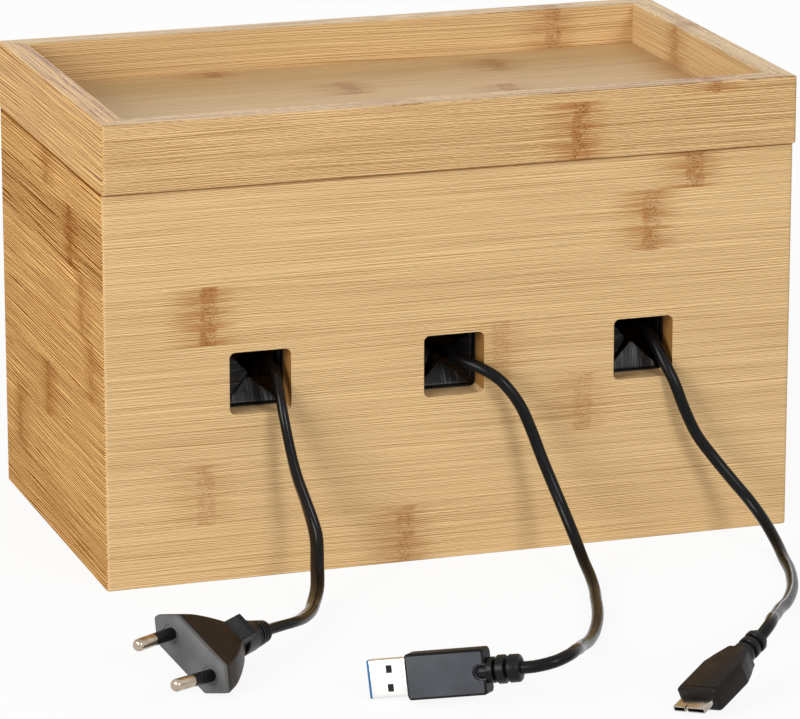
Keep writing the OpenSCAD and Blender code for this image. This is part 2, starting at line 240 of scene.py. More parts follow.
def wire_bamboo_grain(w: Wiring, given: Sockets) -> dict[str, Socket]:
    """Wire strips of bamboo: their fibres, their tone and the knuckle in each.

    Args:
        w: the group's wiring.
        given: the group's inputs.

    Returns:
        The sockets for the group's outputs.
    """
    along, across, depth = w.axes(given["Place"])
    strip = w.math("FLOOR", w.math("DIVIDE", w.math("ADD", across, given["Shift"]), given["Strip"]))
    lot = w.math("MULTIPLY_ADD", strip, 7.31, given["Seed"])
    own_along = w.math("MULTIPLY_ADD", lot, 0.173, along)
    off = w.math("SUBTRACT", along, given["Knuckle"])
    near = w.math("MULTIPLY", w.ease(w.math("ABSOLUTE", off), 0.027, 0.004), given["Strength"])

    drift = w.noise(w.joined(own_along, across, lot), (7.0, 16.0, 1.0))
    wobble = w.noise(w.joined(own_along, across, lot), (120.0, 110.0, 1.0))
    sway = w.math("MULTIPLY_ADD", near, 0.0006, 0.0001)
    bent = w.stirred(across, (drift, 0.003), (wobble, sway))
    fibres = w.joined(own_along, bent, depth)
    close = w.math("MULTIPLY", bent, given["Fineness"])
    inner = w.joined(own_along, close, depth)
    beside = w.joined(own_along, w.math("ADD", close, 0.00017), depth)

    broad = w.noise(fibres, (3.0, 60.0, 60.0))
    bands = w.noise(fibres, (9.0, 330.0, 330.0))
    lines = w.noise(fibres, (22.0, 1500.0, 1500.0))
    threads = w.contrast(inner, beside, (16.0, 3400.0, 3400.0))
    ticks = w.contrast(inner, beside, (420.0, 2900.0, 2900.0))
    dark_lines = w.ease(w.noise(fibres, (9.0, 760.0, 760.0), 0.0), 0.62, 0.72)
    soft = w.stirred(w.math("MULTIPLY", dark_lines, -0.08), (bands, 0.26), (lines, 0.42))
    ticked = w.math("MULTIPLY_ADD", ticks, given["Ticks"], soft)
    fine = w.math("MULTIPLY_ADD", threads, given["Threads"], ticked)
    contrast = w.math("MULTIPLY_ADD", near, 0.5, given["Contrast"])
    level = w.math("MULTIPLY_ADD", fine, contrast, w.stirred(given["Tone"], (broad, 0.08)))
    colour = w.mix(level, given["Deep"], given["Pale"])

    waver = w.noise(w.joined(across, lot, depth), (260.0, 1.0, 1.0))
    away = w.math("ABSOLUTE", w.stirred(off, (waver, 0.0025)))
    patchy = w.ease(w.noise(given["Place"], (190.0, 300.0, 300.0), 2.0), 0.36, 0.6)
    streaks = w.ease(w.noise(fibres, (40.0, 700.0, 700.0)), 0.42, 0.6)
    band = w.math("MULTIPLY", w.ease(away, 0.0048, 0.0022), w.math("MULTIPLY_ADD", patchy, 0.42, 0.32))
    sides = w.math("MULTIPLY", w.ease(off, -0.018, -0.002), w.ease(off, 0.013, 0.001))
    halo = w.math("MULTIPLY", sides, w.math("MULTIPLY_ADD", streaks, 0.46, 0.22))
    knot = w.math("MULTIPLY", w.math("MAXIMUM", band, halo), given["Strength"])
    colour = w.mix(knot, colour, given["Knot"])

    cells = w.stretched(given["Place"], (1000.0, 1700.0, 1700.0))
    pores = w.add("TexVoronoi", {"Vector": cells, "Scale": 1.0}).outputs["Distance"]
    dots = w.math("MULTIPLY", w.ease(pores, 0.42, 0.2), w.ease(away, 0.0036, 0.0014))
    dots = w.math("MULTIPLY", dots, given["Strength"])
    colour = w.mix(w.math("MULTIPLY", dots, 0.7), colour, given["Speck"])

    # End grain and the painted seam shade both take this darker, speckled colour.
    end_cells = w.stretched(given["Place"], (900.0, 900.0, 900.0))
    end_speck = w.add("TexVoronoi", {"Vector": end_cells, "Scale": 1.0}).outputs["Distance"]
    end_and_seam_colour = w.mix(w.ease(end_speck, 0.1, 0.5), given["Knot"], given["Deep"])
    colour = w.mix(given["End"], colour, end_and_seam_colour)

    height = w.math("MULTIPLY_ADD", dots, -0.6, w.math("MULTIPLY", lines, 0.5))
    sheen = w.math("MULTIPLY_ADD", bands, 0.14, 0.42)
    return {"Color": colour, "Height": height, "Roughness": w.math("MULTIPLY_ADD", dots, 0.2, sheen)}


BAMBOO_GRAIN = Effect("bamboo_grain", wire_bamboo_grain, {
    "Place": ("Vector", (0.0, 0.0, 0.0)),
    "Strip": ("Float", 0.02),
    "Shift": ("Float", 0.0),
    "Seed": ("Float", 0.0),
    "Knuckle": ("Float", 0.0),
    "Strength": ("Float", 1.0),
    "Tone": ("Float", 0.6),
    "End": ("Float", 0.0),
    "Contrast": ("Float", 1.0),
    "Threads": ("Float", 1.75),
    "Ticks": ("Float", 0.8),
    "Fineness": ("Float", 1.0),
    "Pale": ("Color", tint("#f2d09c")),
    "Deep": ("Color", tint("#9c7440")),
    "Knot": ("Color", tint("#9a6129")),
    "Speck": ("Color", tint("#5c3412")),
})


def wire_mould_texture(w: Wiring, given: Sockets) -> dict[str, Socket]:
    """Wire a moulding's skin: the fine grain of its tool, handling marks and a little dust.

    Args:
        w: the group's wiring.
        given: the group's inputs.

    Returns:
        The sockets for the group's outputs.
    """
    clouds = w.noise(given["Place"], (140.0, 140.0, 140.0), 3.0)
    grain = w.noise(given["Place"], (3800.0, 3800.0, 3800.0), 2.0)
    dust = w.ease(w.noise(given["Place"], (2100.0, 2100.0, 2100.0)), 0.7, 0.8)
    colour = w.mix(w.ease(clouds, 0.35, 0.68), given["Base"], given["Patch"])
    colour = w.mix(w.math("MULTIPLY", dust, 0.1), colour, tint("#8d8880"))
    colour = w.mix(given["Rim"], colour, given["Edge"])
    gloss = w.stirred(given["Gloss"], (clouds, 0.22), (grain, 0.12))
    return {"Color": colour, "Height": grain, "Roughness": gloss}


MOULD_TEXTURE = Effect("mould_texture", wire_mould_texture, {
    "Place": ("Vector", (0.0, 0.0, 0.0)),
    "Base": ("Color", tint("#222222")),
    "Patch": ("Color", tint("#2c2a28")),
    "Edge": ("Color", tint("#151515")),
    "Rim": ("Float", 0.0),
    "Gloss": ("Float", 0.45),
})


def wire_rubber_creases(w: Wiring, given: Sockets) -> dict[str, Socket]:
    """Wire cut rubber sheet: fine striations one way, with paler ridges that are partly rubbed wear and
    partly painted sheen.

    Args:
        w: the group's wiring.
        given: the group's inputs, whose place has the striations along its second axis.

    Returns:
        The sockets for the group's outputs.
    """
    lines = w.noise(given["Place"], (1500.0, 90.0, 90.0), 2.0)
    folds = w.noise(given["Place"], (330.0, 60.0, 60.0))
    ridge = w.math("MULTIPLY", w.ease(lines, 0.46, 0.7), w.ease(folds, 0.3, 0.6))
    # Paler ridges: partly wear, partly painted sheen along the creases.
    colour = w.mix(w.math("MULTIPLY", ridge, 0.8), given["Base"], given["Worn"])
    height = w.math("MULTIPLY_ADD", folds, 0.8, w.math("MULTIPLY", lines, 0.5))
    return {"Color": colour, "Height": height, "Roughness": w.math("MULTIPLY_ADD", lines, 0.25, 0.36)}


RUBBER_CREASES = Effect("rubber_creases", wire_rubber_creases, {
    "Place": ("Vector", (0.0, 0.0, 0.0)),
    "Base": ("Color", tint("#171615")),
    "Worn": ("Color", tint("#3a3937")),
})


def wire_metal_wear(w: Wiring, given: Sockets) -> dict[str, Socket]:
    """Wire bare metal: rolling lines along its first axis and duller handled patches.

    Args:
        w: the group's wiring.
        given: the group's inputs.

    Returns:
        The sockets for the group's outputs.
    """
    lines = w.noise(given["Place"], (90.0, 2600.0, 2600.0), 2.0)
    clouds = w.noise(given["Place"], (260.0, 260.0, 260.0), 3.0)
    colour = w.mix(w.ease(clouds, 0.45, 0.75), given["Base"], given["Dull"])
    gloss = w.stirred(given["Gloss"], (clouds, 0.12), (lines, 0.08))
    return {"Color": colour, "Height": lines, "Roughness": gloss}


METAL_WEAR = Effect("metal_wear", wire_metal_wear, {
    "Place": ("Vector", (0.0, 0.0, 0.0)),
    "Base": ("Color", tint("#d0d0d0")),
    "Dull": ("Color", tint("#a0a0a0")),
    "Gloss": ("Float", 0.2),
})


# ---------------------------------------------------------------- finishes


def new_material(name: str) -> tuple[bpy.types.Material, Wiring]:
    """Make an empty material.

    Args:
        name: the material's name.

    Returns:
        The material and the wiring of its tree.
    """
    material = bpy.data.materials.new(name)
    material.use_nodes = True
    material.node_tree.nodes.clear()
    return material, Wiring(material.node_tree)


def skinned(w: Wiring, effect: bpy.types.Node, relief: float, constants: dict[str, Value]) -> None:
    """Finish a material with a Principled shader fed by an effect's colour, roughness and height.

    Args:
        w: the material's wiring.
        effect: the placed group.
        relief: how high the effect's texture stands, in metres.
        constants: numbers and colours that are the same all over.
    """
    bump = w.add("Bump", {"Height": effect.outputs["Height"], "Distance": relief})
    feeds = {
        "Base Color": effect.outputs["Color"],
        "Roughness": effect.outputs["Roughness"],
        "Normal": bump.outputs[0],
    }
    shader = w.add("BsdfPrincipled", feeds | constants)
    w.add("OutputMaterial", {"Surface": shader.outputs[0]})


class Mark(NamedTuple):
    """One strip of bamboo: where its knuckle stands along it, how dark that is, and the strip's own tone."""

    at: float = 0.24
    strength: float = 0.7
    tone: float = 0.6


@dataclass(frozen=True)
class Bamboo:
    """Laminated bamboo strips under a matt lacquer.

    Its sizes are in metres. There is a mark for each strip, and the first strip starts at minus the shift.
    The rim is the height above which a board's top edge is darkened as painted seam shade, and 0 leaves that
    out.
    """

    name: str
    grain: Grain
    seed: float
    marks: tuple[Mark, ...]
    strip: float = 0.02025
    shift: float = 0.0008
    contrast: float = 1.0
    threads: float = 1.75
    ticks: float = 0.8
    fineness: float = 1.0
    specular: float = 0.05
    rim: float = 0.0
    pale: str = "#f2d09c"
    deep: str = "#9c7440"
    knot: str = "#a0622a"
    speck: str = "#6a3a12"
    span: float = 0.5
    end_turn: Point2 = (0.75, 0.95)
    rim_soft: float = 0.0003
    rim_depth: Point2 = (0.00098, 0.00106)
    rim_share: float = 0.8

    def strips(self, w: Wiring, across: Socket) -> tuple[Socket, Socket, Socket]:
        """Look up the strip that a place lies in.

        Args:
            w: the material's wiring.
            across: the place across the strips.

        Returns:
            Where the strip's knuckle stands, how dark that is, and the strip's tone.
        """
        count = len(self.marks)
        share = w.math("DIVIDE", w.math("ADD", across, self.shift), self.strip * count)
        ramp = w.add("ValToRGB", {0: share})
        ramp.color_ramp.interpolation = "CONSTANT"
        while len(ramp.color_ramp.elements) < count:
            ramp.color_ramp.elements.new(1.0)
        for index, mark in enumerate(self.marks):
            element = ramp.color_ramp.elements[index]
            element.position = index / count
            element.color = (mark.at / self.span + 0.5, mark.strength, mark.tone, 1.0)
        level, strength, tone = w.axes(ramp.outputs[0])
        return w.math("MULTIPLY_ADD", level, self.span, -self.span / 2), strength, tone

    def ends_and_seam_shade(self, w: Wiring, turned: Socket, height: Socket) -> Socket:
        """Find the ends of the fibres, and the painted seam shade on the top edge just below the rim.

        Args:
            w: the material's wiring.
            turned: how far the surface turns along the grain.
            height: the place's height.

        Returns:
            A mask of both.
        """
        end = w.ease(w.math("ABSOLUTE", turned), *self.end_turn)
        if not self.rim:
            return end
        # Painted shade: the outer top edge is darkened, short of the top face, in place of the shade in the
        # seam under the tray.
        edge = w.ease(height, self.rim, self.rim + self.rim_soft, 0.0, self.rim_share)
        full, gone = (self.rim + depth for depth in self.rim_depth)
        below_top = w.ease(height, full, gone, 1.0, 0.0)
        return w.math("MAXIMUM", end, w.math("MULTIPLY", edge, below_top))

    def material(self) -> bpy.types.Material:
        """Build the finish.

        Returns:
            Its material.
        """
        material, w = new_material(self.name)
        coordinates = w.add("TexCoord").outputs
        order = ["XYZ".index(axis) for axis in self.grain.value]
        parts = w.axes(coordinates["Object"])
        normals = w.axes(coordinates["Normal"])
        knuckle, strength, tone = self.strips(w, parts[order[1]])
        feeds = {
            "Place": w.joined(*(parts[i] for i in order)),
            "Knuckle": knuckle,
            "Strength": strength,
            "Tone": tone,
            "End": self.ends_and_seam_shade(w, normals[order[0]], parts[2]),
        }
        for label in ("Strip", "Shift", "Seed", "Contrast", "Threads", "Ticks", "Fineness"):
            feeds[label] = getattr(self, label.lower())
        for label in ("Pale", "Deep", "Knot", "Speck"):
            feeds[label] = tint(getattr(self, label.lower()))
        effect = w.add("Group", feeds, node_tree=BAMBOO_GRAIN.tree())
        skinned(w, effect, 0.0001, {"Specular IOR Level": self.specular})
        return material


@dataclass(frozen=True)
class Moulding:
    """Moulded plastic or rubber, with another colour where it turns away from the way it faces."""

    name: str
    base: str
    patch: str
    gloss: float = 0.45
    specular: float = 0.5
    relief: float = 0.00003
    edge: str = ""
    facing: Point3 = (0.0, 0.0, 1.0)
    edge_turn: Point2 = (0.97, 0.88)

    def material(self) -> bpy.types.Material:
        """Build the finish.

        Returns:
            Its material.
        """
        material, w = new_material(self.name)
        coordinates = w.add("TexCoord").outputs
        feeds = {
            "Place": coordinates["Object"],
            "Base": tint(self.base),
            "Patch": tint(self.patch),
            "Gloss": self.gloss,
        }
        if self.edge:
            turned = w.add("VectorMath", {0: coordinates["Normal"], 1: self.facing}, operation="DOT_PRODUCT")
            feeds["Edge"] = tint(self.edge)
            feeds["Rim"] = w.ease(w.math("ABSOLUTE", turned.outputs["Value"]), *self.edge_turn)
        effect = w.add("Group", feeds, node_tree=MOULD_TEXTURE.tree())
        skinned(w, effect, self.relief, {"Specular IOR Level": self.specular})
        return material


@dataclass(frozen=True)
class RubberSheet:
    """Thin black rubber sheet with striations along one axis."""

    name: str
    order: str = "XZY"
    base: str = "#121111"
    worn: str = "#444342"

    def material(self) -> bpy.types.Material:
        """Build the finish.

        Returns:
            Its material.
        """
        material, w = new_material(self.name)
        parts = w.axes(w.add("TexCoord").outputs["Object"])
        place = w.joined(*(parts["XYZ".index(axis)] for axis in self.order))
        feeds = {"Place": place, "Base": tint(self.base), "Worn": tint(self.worn)}
        effect = w.add("Group", feeds, node_tree=RUBBER_CREASES.tree())
        skinned(w, effect, 0.0001, {"Specular IOR Level": 0.25})
        return material


@dataclass(frozen=True)
class Metal:
    """Plated or bare metal."""

    name: str
    base: str
    dull: str
    gloss: float = 0.15

    def material(self) -> bpy.types.Material:
        """Build the finish.

        Returns:
            Its material.
        """
        material, w = new_material(self.name)
        feeds = {
            "Place": w.add("TexCoord").outputs["Object"],
            "Base": tint(self.base),
            "Dull": tint(self.dull),
            "Gloss": self.gloss,
        }
        effect = w.add("Group", feeds, node_tree=METAL_WEAR.tree())
        skinned(w, effect, 0.000008, {"Metallic": 1.0})
        return material


# ---------------------------------------------------------------- shapes


def spline(stations: Sequence[Sequence[float]], step: float) -> list[Vector]:
    """Lead one smooth curve through a list of stations.

    Args:
        stations: the points it passes, three numbers each.
        step: about how far apart the curve's own points are.

    Returns:
        The curve's points.
    """
    knots = [Vector(station) for station in stations]
    ends = [2 * knots[0] - knots[1], *knots, 2 * knots[-1] - knots[-2]]
    line = [knots[0]]
    for a, b, c, d in zip(ends, ends[1:], ends[2:], ends[3:]):
        count = max(1, round((c - b).length / step))
        for i in range(1, count + 1):
            t = i / count
            bend = (c - a) * t + (2 * a - 5 * b + 4 * c - d) * t**2 + (3 * b - a - 3 * c + d) * t**3
            line.append(b + 0.5 * bend)
    return line


def rounded(corners: Sequence[Point2], radius: float, steps: int = 4) -> list[Point2]:
    """Round the corners of a convex outline.

    Args:
        corners: the outline's corners in order.
        radius: how far from each corner its rounding starts on a right angle.
        steps: the rounding's steps at each corner.

    Returns:
        The rounded outline.
    """
    outline = []
    for i, corner in enumerate(corners):
        at = Vector(corner)
        back = Vector(corners[i - 1]) - at
        ahead = Vector(corners[(i + 1) % len(corners)]) - at
        reach = min(radius / math.tan(back.angle(ahead) / 2), 0.48 * back.length, 0.48 * ahead.length)
        start = at + back.normalized() * reach
        end = at + ahead.normalized() * reach
        for k in range(steps + 1):
            t = k / steps
            point = (1 - t) ** 2 * start + 2 * t * (1 - t) * at + t**2 * end
            outline.append((point.x, point.y))
    return outline


def block_outline(width: float, height: float, radius: float, steps: int = 4) -> list[Point2]:
    """Give the outline of a rounded rectangle about its middle."""
    a, b = width / 2, height / 2
    return rounded([(a, -b), (a, b), (-a, b), (-a, -b)], radius, steps)


def ring(x: float, outline: Sequence[Point2]) -> list[Vector]:
    """Stand an outline across the X axis."""
    return [Vector((x, y, z)) for y, z in outline]


def placed(name: str, data: bpy.types.ID) -> bpy.types.Object:
    """Put a new object into the scene.

    Args:
        name: the object's name.
        data: its mesh, lamp or camera.

    Returns:
        The object.
    """
    item = bpy.data.objects.new(name, data)
    bpy.context.scene.collection.objects.link(item)
    return item


class Shape:
    """Points and faces of a piece in the making, in millimetres."""

    def __init__(self) -> None:
        """Start empty."""
        self.points: list[Vector] = []
        self.faces: list[tuple[int, ...]] = []

    def loft(self, rings: Sequence[Sequence[Vector]]) -> "Shape":
        """Join closed rings into a skin with both ends closed.

        Args:
            rings: the rings in order, with as many points in each.

        Returns:
            The shape itself.
        """
        start = len(self.points)
        count = len(rings[0])
        last = start + (len(rings) - 1) * count
        for one in rings:
            self.points.extend(one)
        for i in range(start, last, count):
            for k in range(count):
                a, b = i + k, i + (k + 1) % count
                self.faces.append((a, b, b + count, a + count))
        self.faces.append(tuple(range(start + count - 1, start - 1, -1)))
        self.faces.append(tuple(range(last, last + count)))
        return self

    def lathe(self, profile: Sequence[Point2], centre: Point2 = (0.0, 0.0), steps: int = 32) -> "Shape":
        """Turn a profile about a line along X.

        Args:
            profile: the places along the line and the radius at each.
            centre: where the line stands, in Y and Z.
            steps: the sides of each ring.

        Returns:
            The shape itself.
        """
        angles = [math.tau * k / steps for k in range(steps)]
        y, z = centre
        rings = [[Vector((x, y + r * math.cos(a), z + r * math.sin(a))) for a in angles] for x, r in profile]
        return self.loft(rings)

    def block(self, low: Point3, high: Point3) -> "Shape":
        """Add a plain block between two corners."""
        outline = [(high[1], low[2]), (high[1], high[2]), (low[1], high[2]), (low[1], low[2])]
        return self.loft([ring(low[0], outline), ring(high[0], outline)])

    def moved(self, matrix: Matrix) -> "Shape":
        """Move every point by a matrix."""
        self.points = [matrix @ point for point in self.points]
        return self

    def mesh(self, name: str) -> bpy.types.Mesh:
        """Make a mesh of the shape, with its faces turned outwards.

        Args:
            name: the mesh's name.

        Returns:
            The mesh.
        """
        mesh = bpy.data.meshes.new(name)
        mesh.from_pydata([tuple(p) for p in self.points], [], self.faces)
        work = bmesh.new()
        work.from_mesh(mesh)
        bmesh.ops.recalc_face_normals(work, faces=work.faces)
        work.to_mesh(mesh)
        work.free()
        return mesh

    def without(self, *tools: "Shape") -> "Shape":
        """Cut tools out of the shape.

        Args:
            tools: closed shapes that take material away.

        Returns:
            A new shape of what is left.
        """
        holder = placed("blank", self.mesh("blank"))
        cutters = [placed("cutter", tool.mesh("cutter")) for tool in tools]
        for cutter in cutters:
            boolean = holder.modifiers.new("cut", "BOOLEAN")
            boolean.object = cutter
            boolean.operation = "DIFFERENCE"
            boolean.solver = "EXACT"
        cut = bpy.data.meshes.new_from_object(holder.evaluated_get(bpy.context.evaluated_depsgraph_get()))
        left = Shape()
        left.points = [vertex.co.copy() for vertex in cut.vertices]
        left.faces = [tuple(face.vertices) for face in cut.polygons]
        for spare in [holder, *cutters]:
            bpy.data.objects.remove(spare)
        bpy.data.meshes.remove(cut)
        return left


def joined(first: Shape, second: Shape) -> Shape:
    """Put two shapes into one.

    Args:
        first: the first shape.
        second: the shape whose points and faces come after it.

    Returns:
        A new shape of both.
    """
    both = Shape()
    both.points = first.points + second.points
    shift = len(first.points)
    both.faces = first.faces + [tuple(i + shift for i in face) for face in second.faces]
    return both


def dome(start: float, radius: float, turn: float, steps: int) -> list[Point2]:
    """Give the profile of a round nose, for a lathe.

    Args:
        start: the place of its tip.
        radius: its radius.
        turn: how far round it goes from the tip, in degrees.
        steps: the steps in it.

    Returns:
        Places along the line and the radius at each.
    """
    angles = (math.radians(turn * k / steps) for k in range(steps + 1))
    return [(start + radius - radius * math.cos(a), radius * math.sin(a)) for a in angles]


@dataclass(frozen=True)
class Fit:
    """How a piece joins the frame: its body and the nodes that it stands for, with a record slot that nothing
    here applies.
    """

    body: str
    slot: str
    nodes: tuple[str, ...] = ()


def fitted(
    name: str, mesh: bpy.types.Mesh, material: bpy.types.Material, fit: Fit, crease: float = 35.0
) -> bpy.types.Object:
    """Make a piece of a mesh in the row frame and fit it to its body.

    Args:
        name: the piece's name.
        mesh: its mesh, in metres.
        material: its finish.
        fit: what it rides on and stands for.
        crease: the angle in degrees from which an edge stays sharp.

    Returns:
        The piece.
    """
    mesh.name = name
    mesh.materials.clear()
    mesh.materials.append(material)
    mesh.shade_smooth()
    mesh.set_sharp_from_angle(angle=math.radians(crease))
    piece = placed(name, mesh)
    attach(piece, fit.body)
    if fit.nodes:
        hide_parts(*fit.nodes)
    return piece


Rule = tuple[Callable[[Vector], bool], float]

# Lengths in metres and angles in radians.
WELD = 0.00001
FLAT_TURN = math.radians(0.6)
SHARP_TURN = 0.35
ON_PLANE = 0.00002


def eased(node: bpy.types.Object, rules: Iterable[Rule]) -> bpy.types.Mesh:
    """Copy a node's mesh and round chosen edges.

    Args:
        node: the node's object.
        rules: for each set of edges a test of its points, in metres, and the rounding's width.

    Returns:
        The new mesh.
    """
    mesh = node.data.copy()
    work = bmesh.new()
    work.from_mesh(mesh)
    bmesh.ops.remove_doubles(work, verts=work.verts, dist=WELD)
    bmesh.ops.dissolve_limit(work, angle_limit=FLAT_TURN, verts=work.verts, edges=work.edges)
    for chosen, width in rules:
        sharp = [edge for edge in work.edges if edge.is_manifold and edge.calc_face_angle() > SHARP_TURN]
        edges = [edge for edge in sharp if all(chosen(v.co) for v in edge.verts)]
        bmesh.ops.bevel(
            work, geom=edges, offset=width, offset_type="OFFSET", segments=3, profile=0.5, affect="EDGES",
            clamp_overlap=True,
        )
    work.to_mesh(mesh)
    work.free()
    return mesh


# ---------------------------------------------------------------- woodwork


def at(value: float, target: float) -> bool:
    """Say whether a coordinate lies on a plane."""
    return abs(value - target) < ON_PLANE


@dataclass
class WoodBoard:
    """One board, rail or batten: a node with its edges eased, in its own piece of bamboo.

    Its sizes are in metres. Outward says which way its outer face looks, and is empty for a flat board. The
    top, the bottom, the inner and the outlets' edges have their own widths of rounding.
    """

    node: str
    body: str
    finish: Bamboo
    outward: str = ""
    top: float = 0.0004
    bottom: float = 0.0005
    inner: float = 0.0003
    holes: float = 0.0
    hole_reach: float = 0.0106
    hole_x: tuple[float, ...] = (-0.067, 0.0, 0.067)
    hole_z: float = 0.067
    corner: float = 0.00125

    def rules(self) -> list[Rule]:
        """Say which of its edges are rounded, and how far.

        Returns:
            Tests of an edge's points with the width of each rounding.
        """
        low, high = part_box(self.node)
        if not self.outward:
            return [(lambda p: True, self.top)]
        axis = "xy".index(self.outward[1])
        ends = (low[axis], high[axis])
        back, face = ends if self.outward[0] == "+" else ends[::-1]

        def outside(p: Vector) -> bool:
            """Say whether a point lies on the board's outer face."""
            return abs(p[axis] - face) < self.corner

        def by_hole(p: Vector) -> bool:
            """Say whether a point lies at an outlet."""
            near = any(abs(p.x - x) < self.hole_reach for x in self.hole_x)
            return near and abs(p.z - self.hole_z) < self.hole_reach

        rules = [
            (lambda p: at(p.z, high.z) and outside(p), self.top),
            (lambda p: at(p.z, low.z) and outside(p), self.bottom),
            (lambda p: at(p.z, high.z) and at(p[axis], back), self.inner),
        ]
        if self.holes:
            rules.append((lambda p: at(p[axis], face) and by_hole(p), self.holes))
        return rules

    def build(self, frame: dict) -> bpy.types.Object:
        """Build the board and fit it.

        Args:
            frame: the loaded frame.

        Returns:
            The piece.
        """
        mesh = eased(frame["nodes"][self.node], self.rules())
        fit = Fit(self.body, "bamboo", (self.node,))
        piece = fitted(self.node + "_wood", mesh, self.finish.material(), fit)
        piece.modifiers.new("even_shading", "WEIGHTED_NORMAL").keep_sharp = True
        return piece


@dataclass
class Woodwork:
    """The box's five boards and the tray that is its lid."""

    boards: list[WoodBoard] = field(default_factory=list)

    def plan(self) -> None:
        """List the boards with the bamboo of each, its strips from the bottom or the front up."""
        front = (
            Mark(-0.017, 0.7), Mark(-0.0862, 0.5, 0.62), Mark(0.0455, 0.5, 0.6), Mark(0.0163, 0.45, 0.58),
            Mark(-0.0845, 1.0, 0.57), Mark(0.0692, 0.9, 0.6), Mark(0.0847, 1.0, 0.59),
        )
        left = (
            Mark(tone=0.52), Mark(0.047, 0.7, 0.71), Mark(0.006, 0.7, 0.6), Mark(-0.051, 0.6, 0.68),
            Mark(-0.0397, 0.6, 0.72), Mark(-0.0255, 1.0, 0.34), Mark(0.0045, 0.6, 0.7),
        )
        back = tuple(Mark(x) for x in (0.061, -0.031, 0.24, -0.092, 0.024, -0.058, 0.083))
        right = tuple(Mark(x) for x in (0.022, 0.24, -0.036, 0.044, -0.008, 0.052, -0.047))
        # A rail of one strip, one of two strips, the upright boards with painted seam shade on their top
        # edge, and the boards that lie flat.
        whole = {"strip": 0.03, "shift": -0.128}
        two = {"strip": 0.0195, "shift": -0.134, "contrast": 1.8, "pale": "#efca97"}
        seam_shaded = {"rim": 0.1329}
        flat = {"shift": 0.0708}
        # The darker bamboo of the left side, and the rail's share of it.
        orange = {
            "pale": "#ebbd79", "deep": "#7a4015", "knot": "#8a4a14",
            "contrast": 1.9, "threads": 3.3, "ticks": 0.6, "fineness": 0.68, "specular": 0.0,
        }
        warm = whole | orange | {"contrast": 1.4, "specular": 0.06}
        rail = {"top": 0.0006, "inner": 0.0005, "bottom": 0.0006}
        pair = (Mark(0.043, 1.0, 0.47), Mark(0.09, 0.9, 0.5))
        up_x, up_y, flat_x, flat_y = Grain.UPRIGHT_X, Grain.UPRIGHT_Y, Grain.FLAT_X, Grain.FLAT_Y
        for node, name, grain, seed, marks, cut, outward, edges in (
            ("front_board", "front", up_x, 3.0, front, seam_shaded, "-y", {"holes": 0.0005}),
            ("back_board", "back", up_x, 11.0, back, seam_shaded, "+y", {}),
            ("left_board", "left", up_y, 21.0, left, seam_shaded | orange, "-x", {}),
            ("right_board", "right", up_y, 34.0, right, seam_shaded, "+x", {}),
            ("bottom_board", "bottom", flat_x, 45.0, back, flat, "", {}),
            ("tray_front_rail", "front_rail", up_x, 52.0, pair, two, "-y", rail),
            ("tray_back_rail", "back_rail", up_x, 63.0, (Mark(0.0806),), whole, "+y", rail),
            ("tray_left_rail", "left_rail", up_y, 71.0, (Mark(tone=0.73),), warm, "-x", rail),
            ("tray_right_rail", "right_rail", up_y, 83.0, (Mark(0.02),), whole, "+x", rail),
            ("tray_floor", "tray_floor", flat_x, 91.0, right, flat, "", {}),
            ("tray_long_battens", "long_battens", flat_x, 104.0, back, flat, "", {}),
            ("tray_short_battens", "short_battens", flat_y, 112.0, right, {}, "", {}),
        ):
            body = TRAY_BODY if node.startswith(TRAY_BODY) else BOX_BODY
            finish = Bamboo("bamboo_" + name, grain, seed, marks, **cut)
            self.boards.append(WoodBoard(node, body, finish, outward, **edges))

    def build(self, frame: dict) -> None:
        """Build every board.

        Args:
            frame: the loaded frame.
        """
        self.plan()
        for board in self.boards:
            report(board.build(frame))


def report(piece: bpy.types.Object) -> None:
    """Log a finished piece."""
    LOG.info("%s: %d faces", piece.name, len(piece.data.polygons))


# ---------------------------------------------------------------- slit rubber inserts


